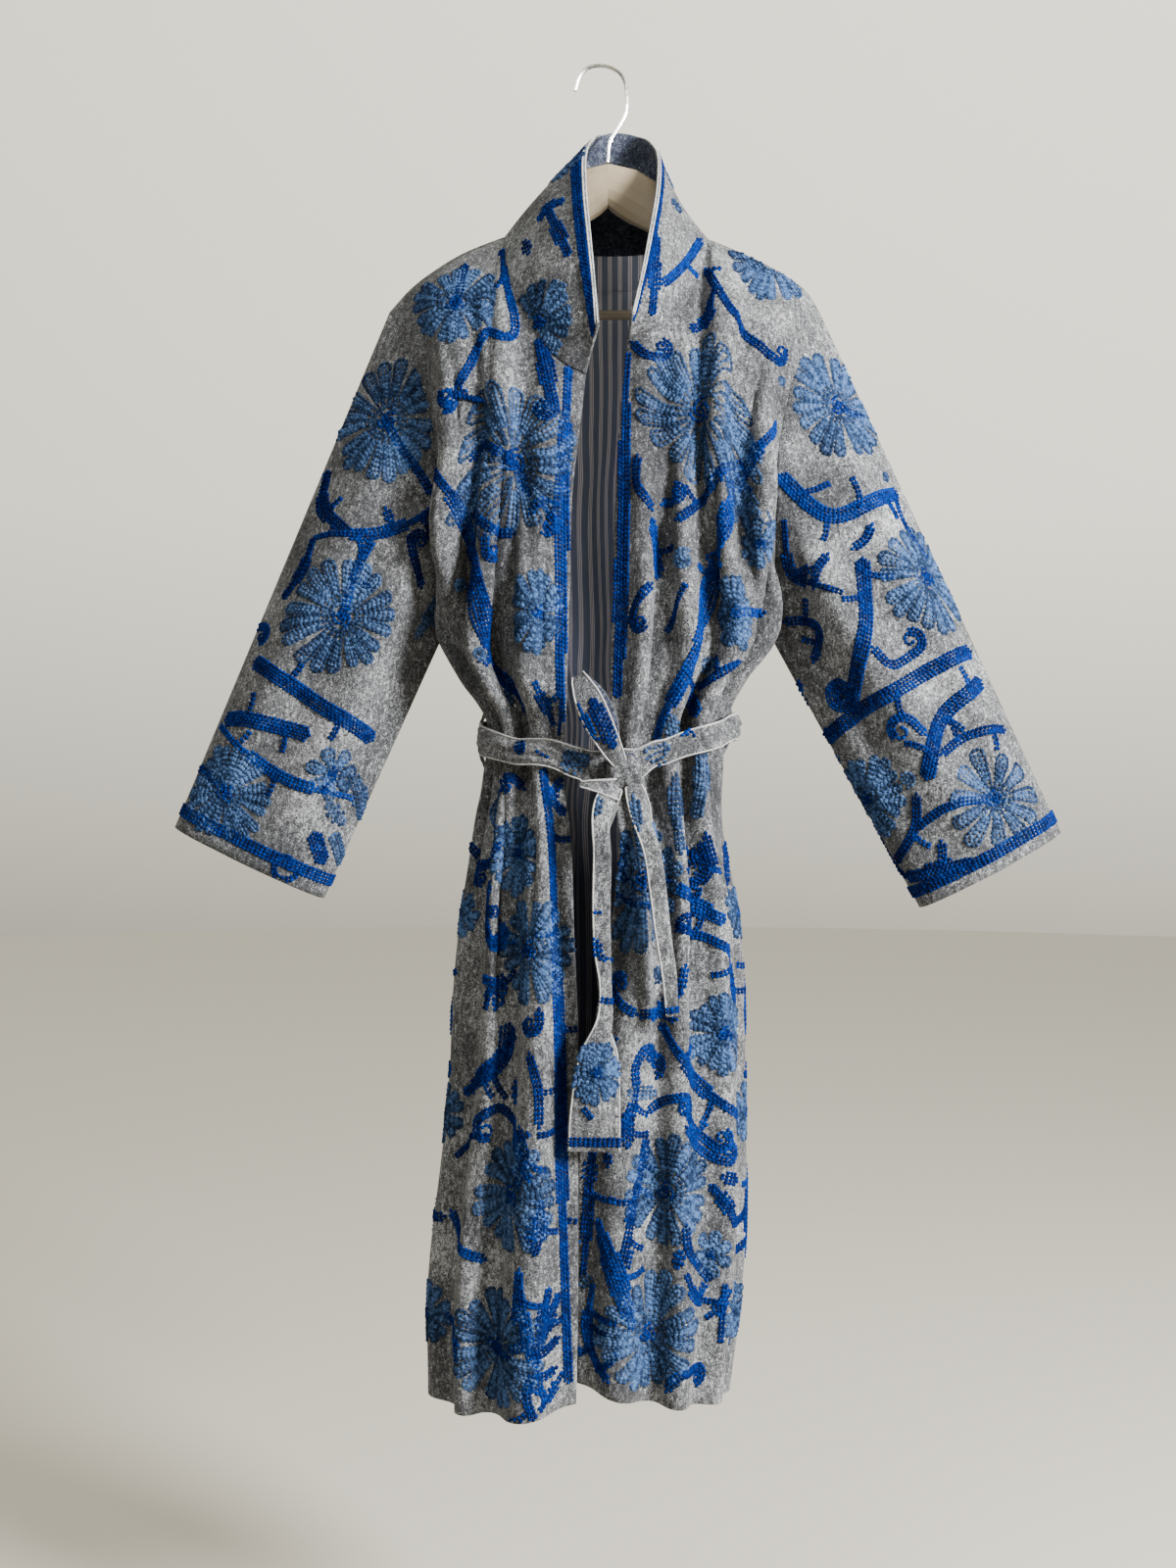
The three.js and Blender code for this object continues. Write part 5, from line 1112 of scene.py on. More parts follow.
SLEEVE_LEFT_FLOWERS = [
    (395, 430, 62, 6, 3, 25), (350, 630, 59, 6, 3, 0), (230, 810, 48, 6, 3, 10), (340, 790, 26, 7, 1, 0),
]
SLEEVE_LEFT_VINES = [
    vine(THIN, (390, 425), (440, 505)), vine(STEM, (320, 550), (445, 515), 12, twigs=4),
    vine(BROAD, (335, 480), (355, 545), 16, twigs=1), vine(THIN, (380, 550), (350, 630), 4, twigs=1),
    vine(THIN, (430, 600), (420, 555), curl=10), vine(LEAF, (320, 550), (290, 610), -4),
    vine(BROAD, (450, 580), (425, 650), -8, thread="denim"), vine(THIN, (260, 640), (270, 640), curl=9),
    vine(BAR, (260, 675), (380, 755), twigs=2), vine(BAR, (230, 735), (315, 750), -4, twigs=2),
    vine(STEM, (225, 740), (360, 815), 16, twigs=3), vine(THIN, (200, 780), (230, 805)),
    vine(BROAD, (335, 820), (350, 840), thread="denim"), vine(BAR, (360, 790), (375, 835), thread="denim"),
    vine(BAND, (340, 850), (350, 880), thread="denim"), vine(BAR, (320, 850), (330, 880)),
    vine(STEM, (310, 885), (300, 895), curl=13),
]
SLEEVE_RIGHT_FLOWERS = [
    (855, 415, 59, 6, 3, -10), (945, 590, 57, 6, 3, 15), (1015, 815, 48, 11, 1, 0),
    (885, 815, 40, 6, 3, 0),
]
SLEEVE_RIGHT_VINES = [
    vine(THIN, (860, 420), (880, 425)), vine(BAR, (795, 485), (915, 505), 32, twigs=4),
    vine(HAIR, (910, 500), (945, 570), 4), vine(THIN, (890, 535), (870, 560), -4),
    vine(BAR, (880, 570), (870, 710), -8, curl=14, twigs=2),
    vine(STEM, (800, 530), (860, 605), 28, twigs=1), vine(THIN, (845, 565), (830, 600), 4),
    vine(THIN, (890, 660), (935, 665), 16, curl=-12), vine(THIN, (800, 635), (830, 675), -24, twigs=2),
    vine(THIN, (815, 695), (815, 730), -4, twigs=1), vine(BAR, (990, 665), (835, 755), 4, twigs=1),
    vine(BAR, (945, 795), (1000, 695), -16, twigs=3), vine(THIN, (945, 750), (930, 735), curl=-14),
    vine(THIN, (960, 770), (1025, 745), -8, twigs=2), vine(THIN, (935, 810), (915, 880), -8, twigs=1),
    vine(THIN, (935, 845), (1010, 815), -8), vine(BROAD, (925, 895), (995, 880), twigs=1),
    vine(HAIR, (890, 860), (925, 895)),
]
SLEEVE_RIGHT_BUDS = [(925, 795, 8), (903, 486, 5), (849, 778, 6)]

COLLAR_FLOWERS = [
    (550, 330, 37, 6, 3, 0),
]
COLLAR_VINES = [
    vine(LEAF, (550, 225), (575, 205), -4), vine(LEAF, (560, 215), (580, 260)),
    vine(STEM, (535, 245), (540, 260)), vine(LEAF, (670, 240), (665, 320)),
    vine(THIN, (675, 290), (715, 245), 4, twigs=1), vine(LEAF, (685, 205), (695, 215), thread="denim"),
]
COLLAR_BACK_FLOWERS = [
    (575, 165, 29, 6, 3, 0), (675, 170, 26, 6, 3, 20),
]
COLLAR_BACK_VINES = [
    vine(THIN, (600, 160), (650, 160), -12, curl=9, twigs=2),
]

BACK_FLOWERS = [
    (470, 335, 55, 6, 3, 0), (620, 305, 53, 6, 3, 15), (775, 345, 55, 6, 3, 5), (540, 450, 62, 6, 3, 20),
    (705, 475, 62, 6, 3, 0), (605, 595, 55, 6, 3, 10), (520, 675, 37, 6, 3, 0), (705, 690, 42, 6, 3, 20),
    (555, 885, 55, 6, 3, 5), (690, 905, 57, 6, 3, 25), (605, 1040, 51, 6, 3, 0), (725, 1095, 51, 6, 3, 10),
    (530, 1160, 53, 6, 3, 20), (640, 1215, 59, 6, 3, 0), (540, 1330, 51, 6, 3, 10),
    (705, 1340, 55, 6, 3, 5),
]
BACK_VINES = [
    vine(THIN, (605, 210), (550, 350), 8, curl=11, twigs=3),
    vine(THIN, (660, 215), (710, 350), -16, curl=-11, twigs=3),
    vine(SWELL, (425, 430), (530, 725), -4, twigs=4), vine(SWELL, (805, 430), (725, 725), 4, twigs=4),
    vine(STEM, (625, 375), (620, 530), twigs=4), vine(THIN, (480, 440), (485, 520), 12, curl=-10, twigs=1),
    vine(THIN, (660, 610), (655, 745), curl=10, twigs=3), vine(THIN, (565, 650), (565, 740), -8, twigs=2),
    vine(BROAD, (620, 775), (610, 985), twigs=4),
    vine(THIN, (505, 800), (500, 920), -8, curl=-11, twigs=2),
    vine(THIN, (750, 800), (750, 1000), -4, twigs=3), vine(BROAD, (665, 970), (675, 1170), twigs=3),
    vine(THIN, (510, 990), (510, 1095), -12, curl=-10, twigs=2),
    vine(THIN, (755, 1170), (750, 1275), 12, twigs=3), vine(BROAD, (585, 1110), (580, 1390), -4, twigs=4),
    vine(THIN, (500, 1220), (505, 1285), 8, twigs=1), vine(THIN, (640, 1290), (640, 1390), 12, twigs=3),
    vine(THIN, (560, 1100), (570, 1120), curl=9),
]
BACK_BUDS = [
    (588, 740, 8), (700, 780, 9), (640, 830, 8), (500, 570, 7), (742, 590, 8), (694, 1010, 9),
    (566, 980, 7), (650, 560, 7),
]
SIDE_FLOWERS = [
    (570, 1130, 30, 6, 2, 0), (560, 1330, 32, 6, 2, 20), (575, 930, 26, 6, 2, 10),
]
SIDE_VINES = [
    vine(THIN, (575, 860), (565, 900)), vine(STEM, (585, 975), (580, 1085), 8, curl=9, twigs=3),
    vine(STEM, (585, 1180), (580, 1280), 8, twigs=3),
]
SIDE_BACK_FLOWERS = [
    (635, 1000, 30, 6, 2, 15), (630, 1240, 32, 6, 2, 0),
]
SIDE_BACK_VINES = [
    vine(STEM, (625, 830), (625, 940), -8, twigs=3), vine(STEM, (620, 1060), (625, 1180), -12, twigs=3),
    vine(STEM, (620, 1300), (630, 1390), -8, twigs=2),
]
SLEEVE_LEFT_BACK_FLOWERS = [
    (400, 450, 59, 6, 3, 10), (350, 630, 55, 6, 3, 0), (270, 770, 51, 6, 3, 20), (330, 820, 29, 7, 1, 0),
]
SLEEVE_LEFT_BACK_VINES = [
    vine(STEM, (445, 520), (325, 535), -20, twigs=4), vine(BAR, (260, 675), (385, 740), 8, twigs=2),
    vine(STEM, (390, 660), (300, 820), -4, curl=12, twigs=3),
    vine(BROAD, (335, 485), (340, 560), -4, twigs=1),
    vine(BAND, (225, 850), (300, 875), 4, thread="denim"),
]
SLEEVE_RIGHT_BACK_FLOWERS = [
    (845, 450, 59, 6, 3, 0), (900, 620, 55, 6, 3, 15), (980, 770, 51, 6, 3, 0), (920, 820, 29, 7, 1, 0),
]
SLEEVE_RIGHT_BACK_VINES = [
    vine(STEM, (800, 520), (925, 535), 20, twigs=4), vine(BAR, (995, 675), (865, 740), -4, twigs=2),
    vine(STEM, (855, 660), (950, 820), 4, curl=-12, twigs=3),
    vine(BROAD, (915, 485), (910, 560), 4, twigs=1),
    vine(BAND, (1025, 850), (950, 875), -4, thread="denim"),
]

SASH_VINES = [
    vine(BROAD, (524, 764), (536, 761)), vine(BAND, (574, 770), (602, 777), thread="denim"),
    vine(STEM, (574, 780), (592, 786), thread="denim"), vine(LEAF, (718, 733), (728, 724)),
    vine(BROAD, (660, 774), (682, 762), thread="denim"), vine(THIN, (548, 767), (558, 772)),
    vine(THIN, (696, 750), (710, 740)),
]
SASH_BACK_VINES = [
    vine(BROAD, (540, 758), (566, 766), thread="denim"), vine(BROAD, (594, 762), (622, 758)),
    vine(BROAD, (650, 758), (676, 762), thread="denim"), vine(THIN, (690, 752), (712, 756), twigs=1),
]
LONG_TAIL_FLOWERS = [(609, 1094, 29, 6, 3, 15)]
LONG_TAIL_VINES = [
    vine(BAND, (609, 812), (606, 832), thread="denim"), vine(BAR, (603, 844), (602, 884), thread="denim"),
    vine(STEM, (594, 931), (612, 931)), vine(BAND, (606, 958), (608, 990)),
    vine(THIN, (612, 1008), (608, 1034), twigs=1), vine(STEM, (595, 1130), (604, 1142)),
]
SHORT_TAIL_VINES = [
    vine(THIN, (646, 812), (652, 846), thread="denim"), vine(STEM, (656, 880), (661, 920), thread="denim"),
    vine(STEM, (666, 944), (670, 972)),
]
BOW_VINES = [
    vine(STEM, (588, 718), (608, 762)), vine(BAND, (604, 714), (626, 762), -1),
]
KNOT_VINES = [
    vine(BROAD, (628, 788), (650, 764), 1), vine(THIN, (640, 794), (650, 784)),
]
CORNER_VINES = [
    vine(HAIR, (596, 805), (628, 817)),
]


# ---------------------------------------------------------------- chain stitches

def chain_link():
    """One chain stitch: a raised loop with a pinched tail and a dip in its eye."""
    foot = [(-0.74, 0.1), (-0.24, 0.44), (0.36, 0.5), (0.7, -0.1), (0.3, -0.5), (-0.28, -0.42)]
    base = [(x, y, -0.12) for x, y in foot]
    crest = [(-0.42, 0.04, 0.24), (0.14, 0.3, 0.34), (0.5, -0.04, 0.3), (0.1, -0.3, 0.34), (0.06, 0, 0.24)]
    faces = [
        (0, 6, 1), (1, 6, 7), (1, 7, 2), (2, 7, 8), (2, 8, 3), (3, 8, 4), (4, 8, 9), (4, 9, 5), (5, 9, 6),
        (5, 6, 0),
        (6, 10, 7), (7, 10, 8), (8, 10, 9), (9, 10, 6),
    ]
    mesh = bpy.data.meshes.new("chain_link")
    mesh.from_pydata(base + crest, [], [f[::-1] for f in faces])
    mesh.polygons.foreach_set("use_smooth", [True] * len(faces))
    link = bpy.data.objects.new("chain_link", mesh)
    bpy.context.scene.collection.objects.link(link)
    link.hide_render = True
    return link


def chain_tree(finish, name):
    """Geometry Nodes: lays a chain link along every row, facing out of the cloth."""
    tree = bpy.data.node_groups.new(name, "GeometryNodeTree")
    face = tree.interface
    face.new_socket("Rows", in_out="INPUT", socket_type="NodeSocketGeometry")
    face.new_socket("Link", in_out="INPUT", socket_type="NodeSocketObject")
    face.new_socket("Stitch Length", in_out="INPUT", socket_type="NodeSocketFloat").default_value = 0.004
    face.new_socket("Row Width", in_out="INPUT", socket_type="NodeSocketFloat").default_value = 0.0034
    face.new_socket("Stitch Height", in_out="INPUT", socket_type="NodeSocketFloat").default_value = 0.0045
    face.new_socket("Unevenness", in_out="INPUT", socket_type="NodeSocketFloat").default_value = 0.12
    face.new_socket("Stitched", in_out="OUTPUT", socket_type="NodeSocketGeometry")
    node, link = tree.nodes.new, tree.links.new
    rows, out = node("NodeGroupInput"), node("NodeGroupOutput")
    curve, points = node("GeometryNodeMeshToCurve"), node("GeometryNodeCurveToPoints")
    points.mode = "LENGTH"
    up = node("GeometryNodeInputNamedAttribute")
    up.data_type = "FLOAT_VECTOR"
    up.inputs["Name"].default_value = "up"
    turn = node("FunctionNodeAxesToRotation")
    turn.primary_axis, turn.secondary_axis = "Z", "X"
    uneven, swell = node("FunctionNodeRandomValue"), node("ShaderNodeMath")
    uneven.data_type = "FLOAT"
    uneven.inputs["Seed"].default_value = 5
    swell.operation = "MULTIPLY_ADD"
    swell.inputs[2].default_value = 1.0
    size, scale = node("ShaderNodeCombineXYZ"), node("ShaderNodeVectorMath")
    scale.operation = "SCALE"
    shape = node("GeometryNodeObjectInfo")
    stitch, real = node("GeometryNodeInstanceOnPoints"), node("GeometryNodeRealizeInstances")
    paint = node("GeometryNodeSetMaterial")
    paint.inputs["Material"].default_value = finish
    uneven.inputs[2].default_value, uneven.inputs[3].default_value = -1.0, 1.0
    link(rows.outputs["Rows"], curve.inputs[0])
    link(curve.outputs[0], points.inputs["Curve"])
    link(rows.outputs["Stitch Length"], points.inputs["Length"])
    link(up.outputs[0], turn.inputs["Primary Axis"])
    link(points.outputs["Tangent"], turn.inputs["Secondary Axis"])
    link(rows.outputs["Stitch Length"], size.inputs["X"])
    link(rows.outputs["Row Width"], size.inputs["Y"])
    link(rows.outputs["Stitch Height"], size.inputs["Z"])
    link(uneven.outputs[1], swell.inputs[0])
    link(rows.outputs["Unevenness"], swell.inputs[1])
    link(size.outputs[0], scale.inputs[0])
    link(swell.outputs[0], scale.inputs["Scale"])
    link(rows.outputs["Link"], shape.inputs["Object"])
    link(points.outputs["Points"], stitch.inputs["Points"])
    link(shape.outputs["Geometry"], stitch.inputs["Instance"])
    link(turn.outputs[0], stitch.inputs["Rotation"])
    link(scale.outputs[0], stitch.inputs["Scale"])
    link(stitch.outputs[0], real.inputs[0])
    link(real.outputs[0], paint.inputs["Geometry"])
    link(paint.outputs[0], out.inputs[0])
    return tree


def sew(stitching, link, trees, sizes):
    """Turns one panel's rows into two stitched pieces, one for each thread."""
    made = []
    for thread, rows in stitching.rows.items():
        if not rows:
            continue
        spots, edges, ups, tones = [], [], [], []
        for face, up, tone in rows:
            start = len(spots)
            spots.extend((face * MM).tolist())
            ups.extend(up.ravel().tolist())
            tones.extend([tone] * len(face))
            edges.extend((start + i, start + i + 1) for i in range(len(face) - 1))
        mesh = bpy.data.meshes.new("rows")
        mesh.from_pydata(spots, edges, [])
        mesh.attributes.new("up", "FLOAT_VECTOR", "POINT").data.foreach_set("vector", ups)
        mesh.attributes.new("tone", "FLOAT", "POINT").data.foreach_set("value", tones)
        rough = bpy.data.objects.new("rows", mesh)
        bpy.context.scene.collection.objects.link(rough)
        step = rough.modifiers.new("chain", "NODES")
        step.node_group = trees[thread]
        listed = trees[thread].interface.items_tree
        sockets = {s.name: s.identifier for s in listed if s.item_type == "SOCKET"}
        step[sockets["Link"]] = link
        step[sockets["Stitch Length"]] = sizes[thread][0] * MM
        step[sockets["Row Width"]] = sizes[thread][1] * MM
        step[sockets["Stitch Height"]] = sizes[thread][2] * MM
        step[sockets["Unevenness"]] = 0.12
        ready = rough.evaluated_get(bpy.context.evaluated_depsgraph_get())
        stitched = bpy.data.meshes.new_from_object(ready)
        bpy.data.objects.remove(rough)
        name = f"{stitching.name}_{thread}_stitching"
        piece = bpy.data.objects.new(name, stitched)
        piece.name = name
        bpy.context.scene.collection.objects.link(piece)
        made.append(piece)
    return made


# ---------------------------------------------------------------- finishes

# Middle of the painted shade that darkens the grey cloth over the chest.
CHEST_SHADE_MIDDLE = (0.0, -0.06, -0.46)
STRIPE_REPEAT = 0.0102


class Finish:
    """One material, built node by node around its Principled shader."""

    def __init__(self, name, **fixed):
        self.material = bpy.data.materials.new(name)
        self.material.use_nodes = True
        self.tree = self.material.node_tree
        self.shader = self.tree.nodes["Principled BSDF"]
        for socket, value in fixed.items():
            self.shader.inputs[socket.replace("_", " ").title().replace("Ior", "IOR")].default_value = value
        self.here = self.add("ShaderNodeTexCoord").outputs["Object"]

    def add(self, kind, inputs=None, **settings):
        node = self.tree.nodes.new(kind)
        for key, value in settings.items():
            setattr(node, key, value)
        for key, value in (inputs or {}).items():
            if isinstance(value, bpy.types.NodeSocket):
                self.tree.links.new(value, node.inputs[key])
            else:
                node.inputs[key].default_value = value
        return node

    def stretched(self, x, y, z):
        return self.add("ShaderNodeMapping", {"Vector": self.here, "Scale": (x, y, z)}).outputs[0]

    def noise(self, scale, detail=2.0, rough=0.5, twist=0.0, at=None):
        inputs = {"Vector": at or self.here, "Scale": scale, "Detail": detail}
        inputs.update({"Roughness": rough, "Distortion": twist})
        return self.add("ShaderNodeTexNoise", inputs).outputs["Fac"]

    def plus(self, a, b, share):
        """a + b * share"""
        return self.add("ShaderNodeMath", {0: b, 1: share, 2: a}, operation="MULTIPLY_ADD").outputs[0]

    def shades(self, fac, *stops, steps="LINEAR"):
        ramp = self.add("ShaderNodeValToRGB", {"Fac": fac})
        ramp.color_ramp.interpolation = steps
        while len(ramp.color_ramp.elements) < len(stops):
            ramp.color_ramp.elements.new(0.5)
        for element, (place, colour) in zip(ramp.color_ramp.elements, stops):
            element.position, element.color = place, (*colour, 1)
        return ramp.outputs["Color"]

    def blend(self, fac, a, b, how="MIX"):
        mix = self.add("ShaderNodeMix", data_type="RGBA", blend_type=how)
        for index, value in ((0, fac), (6, a), (7, b)):
            if isinstance(value, bpy.types.NodeSocket):
                self.tree.links.new(value, mix.inputs[index])
            else:
                mix.inputs[index].default_value = (*value, 1) if index else value
        return mix.outputs[2]

    def spread(self, fac, low, high):
        return self.add("ShaderNodeMapRange", {"Value": fac, "To Min": low, "To Max": high}).outputs[0]

    def raised(self, height, strength, distance, over=None):
        inputs = {"Height": height, "Strength": strength, "Distance": distance}
        if over:
            inputs["Normal"] = over
        return self.add("ShaderNodeBump", inputs).outputs[0]

    def done(self, colour, rough, normal):
        for socket, value in (("Base Color", colour), ("Roughness", rough), ("Normal", normal)):
            if value is not None:
                self.tree.links.new(value, self.shader.inputs[socket])
        return self.material


def grey_melange():
    """Washed grey cotton, brushed and mottled like felt, with painted shade making it a little darker over
    the chest.
    """
    f = Finish(
        "washed_grey_melange", roughness=0.92, sheen_weight=0.06, sheen_roughness=0.6,
        specular_ior_level=0.15,
    )
    worms = f.noise(430, 3, 0.62, 1.6)
    streaks = f.noise(300, 2, 0.5, 0.6, f.stretched(1, 1, 0.35))
    clouds = f.noise(16, 2, 0.5)
    # painted shade: the cloth is darkened round the chest, standing in for the shade of the folds there
    chest = f.add("ShaderNodeVectorMath", {0: f.here, 1: CHEST_SHADE_MIDDLE}, operation="DISTANCE")
    painted_chest_shade = f.add("ShaderNodeMapRange", {
        "Value": chest.outputs["Value"], "From Min": 0.08, "From Max": 0.26, "To Min": -0.04, "To Max": 0.0,
    }).outputs[0]
    mottle = f.plus(f.plus(f.plus(f.spread(worms, 0.0, 0.58), streaks, 0.20), clouds, 0.2), painted_chest_shade, 1.0)
    colour = f.shades(
        mottle, (0.39, (0.0095, 0.0101, 0.0125)), (0.46, (0.028, 0.0293, 0.033)),
        (0.52, (0.074, 0.077, 0.083)), (0.60, (0.25, 0.257, 0.27)),
    )
    crinkles = f.raised(f.noise(34, 3, 0.55, 0.8, f.stretched(1, 1, 1.6)), 0.35, 0.004)
    return f.done(colour, f.spread(worms, 0.86, 0.97), f.raised(worms, 0.5, 0.0008, crinkles))


def thread(name, dark, middle, light):
    """Twisted cotton thread, heathered along its rows by the dye and by the tone of each row."""
    f = Finish(name, roughness=0.75, sheen_weight=0.0, specular_ior_level=0.03)
    tone = f.add("ShaderNodeAttribute", attribute_name="tone").outputs["Fac"]
    heather = f.noise(210, 2, 0.6, 0.8)
    fibres = f.noise(1500, 2, 0.6)
    value = f.plus(f.plus(f.spread(tone, 0.0, 0.34), heather, 0.62), fibres, 0.16)
    colour = f.shades(value, (0.36, dark), (0.54, middle), (0.72, light))
    return f.done(colour, f.spread(fibres, 0.58, 0.82), f.raised(fibres, 0.5, 0.0004))


def pinstriped_lining():
    """Slate lining with groups of three fine pale stripes that follow its warp, darkened low down with
    painted shade.
    """
    f = Finish("pinstriped_lining", roughness=0.75, sheen_weight=0.15, specular_ior_level=0.25)
    flat = f.add("ShaderNodeUVMap", uv_map="cloth").outputs[0]
    across = f.add("ShaderNodeSeparateXYZ", {0: flat}).outputs["X"]
    waver = f.plus(across, f.noise(40, 1), 0.0008)
    repeats = f.add("ShaderNodeMath", {0: waver, 1: STRIPE_REPEAT}, operation="DIVIDE").outputs[0]
    place = f.add("ShaderNodeMath", {0: repeats}, operation="FRACT").outputs[0]
    slate, pale, rose = (0.19, 0.22, 0.31), (0.98, 0.95, 0.95), (0.34, 0.29, 0.36)
    stripes = f.shades(
        place, (0.0, slate), (0.20, pale), (0.275, rose), (0.35, pale), (0.425, rose), (0.50, pale),
        (0.575, slate), steps="CONSTANT",
    )
    weave = f.noise(420, 2, 0.7)
    # painted shade: below the waist the lining is multiplied darker, standing in for the shade deep in the
    # opening
    height = f.add("ShaderNodeSeparateXYZ", {0: f.here}).outputs["Z"]
    painted_low_shade = f.add("ShaderNodeMapRange", {"Value": height, "From Min": -0.80, "From Max": -0.66}).outputs[0]
    worn = f.blend(f.spread(weave, 0.0, 0.2), stripes, (0.30, 0.33, 0.42))
    worn = f.blend(painted_low_shade, f.blend(1.0, worn, (0.16, 0.17, 0.20), "MULTIPLY"), worn)
    creases = f.raised(f.noise(30, 2, 0.5, 0.3, f.stretched(0.3, 0.3, 2.2)), 0.3, 0.003)
    return f.done(worn, f.spread(weave, 0.66, 0.84), f.raised(weave, 0.4, 0.0005, creases))


def shaded_reverse():
    """The mottled reverse of the collar, its tone darkened with painted shade for the shadow inside the neck.
    """
    f = Finish("slate_collar_reverse", roughness=0.9, sheen_weight=0.04, specular_ior_level=0.12)
    worms = f.noise(240, 3, 0.62, 1.4)
    # painted shade: these dark stops stand in for the shade inside the collar
    colour = f.shades(
        worms, (0.34, (0.008, 0.010, 0.018)), (0.52, (0.024, 0.029, 0.046)), (0.68, (0.085, 0.095, 0.12)),
    )
    return f.done(colour, f.spread(worms, 0.84, 0.96), f.raised(worms, 0.5, 0.0008))


def white_piping():
    f = Finish("white_piping", roughness=0.8, sheen_weight=0.15, specular_ior_level=0.3)
    fibres = f.noise(900, 2, 0.6)
    worn = f.plus(fibres, f.noise(60, 2, 0.6), 0.6)
    colour = f.shades(worn, (0.55, (0.09, 0.095, 0.11)), (0.95, (0.36, 0.36, 0.355)))
    return f.done(colour, f.spread(fibres, 0.7, 0.9), f.raised(fibres, 0.5, 0.0003))


def cream_plastic():
    """Aged moulded plastic: slightly yellowed in patches, and smoother where it is paler."""
    f = Finish(
        "cream_hanger_plastic", roughness=0.4, specular_ior_level=0.5, coat_weight=0.12, coat_roughness=0.3,
    )
    patches = f.noise(18, 3, 0.55)
    grain = f.noise(700, 2, 0.5)
    colour = f.shades(
        patches, (0.3, (0.17, 0.135, 0.086)), (0.55, (0.215, 0.178, 0.124)), (0.75, (0.245, 0.21, 0.155)),
    )
    return f.done(colour, f.spread(patches, 0.48, 0.3), f.raised(grain, 0.12, 0.0004))


def bright_wire():
    f = Finish("bright_hook_wire", metallic=1.0, roughness=0.2)
    drawn = f.noise(600, 2, 0.5, 0.0, f.stretched(1, 1, 0.2))
    colour = f.shades(drawn, (0.3, (0.52, 0.52, 0.53)), (0.7, (0.80, 0.80, 0.81)))
    return f.done(colour, f.spread(drawn, 0.14, 0.3), f.raised(drawn, 0.15, 0.0003))


def floor_paint():
    f = Finish("pale_floor_paint", roughness=0.95, specular_ior_level=0.1)
    mist = f.noise(0.6, 2, 0.5)
    # painted shade: the floor is darker nearby and paler far away, where it meets the sky
    away = f.add("ShaderNodeSeparateXYZ", {0: f.here}).outputs["Y"]
    far = f.add("ShaderNodeMapRange", {"Value": away, "From Min": -1.0, "From Max": 4.0}).outputs[0]
    painted_near_shade = f.shades(mist, (0.3, (0.365, 0.345, 0.30)), (0.7, (0.39, 0.368, 0.322)))
    return f.done(f.blend(far, painted_near_shade, (0.475, 0.458, 0.425)), f.spread(mist, 0.9, 1.0), None)


# ---------------------------------------------------------------- piping, knot and carriers

def tube_piece(name, paths, radius, finish, sides=6, twist=0.0, closed=False):
    """Round cords along lists of points, closed at both ends or joined into a ring."""
    spots, faces = [], []
    for path in paths:
        path = np.asarray(path, float)
        ahead = np.roll(path, -1, 0) - np.roll(path, 1, 0) if closed else np.gradient(path, axis=0)
        ahead = unit(ahead)
        side = unit(np.cross(ahead, [0.13, -0.31, 0.94]))
        deep = np.cross(ahead, side)
        run = np.r_[0, np.cumsum(np.linalg.norm(np.diff(path, axis=0), axis=1))]
        angle = TAU * np.arange(sides) / sides
        swell = radius * (1 + (0.2 if twist else 0) * np.cos(2 * (angle[None] - twist * run[:, None])))
        aside = side[:, None] * (swell * np.cos(angle))[..., None]
        ring = path[:, None] + aside + deep[:, None] * (swell * np.sin(angle))[..., None]
        start, count = len(spots), len(path)
        spots += ring.reshape(-1, 3).tolist()
        for r in range(count if closed else count - 1):
            a, b = start + r * sides, start + (r + 1) % count * sides
            faces += [(a + k, a + (k + 1) % sides, b + (k + 1) % sides, b + k) for k in range(sides)]
        if not closed:
            faces.append([start + k for k in range(sides)][::-1])
            faces.append([start + (count - 1) * sides + k for k in range(sides)])
    return closed_outward(mesh_piece(name, spots, faces, finish))


def grid_line(cloth, c, r, lift):
    c, r = np.broadcast_arrays(np.asarray(c, float), np.asarray(r, float))
    return cloth.sample(cloth.face, c, r) + unit(cloth.sample(cloth.normal, c, r)) * lift


def knot_panel():
    """The knot's wound layers: a crowned lump with slanting wraps round it."""
    rows, around = 30, 56
    tilt = np.linspace(88, -88, rows)[:, None] * DEGREE
    turn = TAU * np.arange(around)[None] / around
    x, y, z = np.cos(turn) * np.cos(tilt), np.sin(turn) * np.cos(tilt), np.sin(tilt) + 0 * turn
    x, y, z = (np.sign(v) * np.abs(v) ** 0.86 for v in (x, y, z))
    wraps = 1 + 0.055 * np.cos(TAU * (1.5 * x + 0.55 * z)) + 0.02 * np.cos(TAU * (2.7 * z - x))
    points = np.stack([x, y, z], -1) * wraps[..., None] * np.array(KNOT_HALF) + np.array(KNOT_CENTRE)
    return {"points": points, "normals": grid_normals(points, 1, True), "flip": 1, "closed": True}


def knot_piece(panel, finish):
    points = panel["points"]
    rows, around = points.shape[:2]
    number = np.arange(rows * around).reshape(rows, around)
    wrap = np.concatenate([number, number[:, :1]], 1)
    faces = np.stack([wrap[:-1, :-1], wrap[:-1, 1:], wrap[1:, 1:], wrap[1:, :-1]], -1).reshape(-1, 4).tolist()
    spots = points.reshape(-1, 3).tolist() + [points[0].mean(0).tolist(), points[-1].mean(0).tolist()]
    top, bottom = rows * around, rows * around + 1
    faces += [(top, wrap[0, k + 1], wrap[0, k]) for k in range(around)]
    faces += [(bottom, wrap[-1, k], wrap[-1, k + 1]) for k in range(around)]
    return closed_outward(mesh_piece("sash_knot", spots, faces, finish))


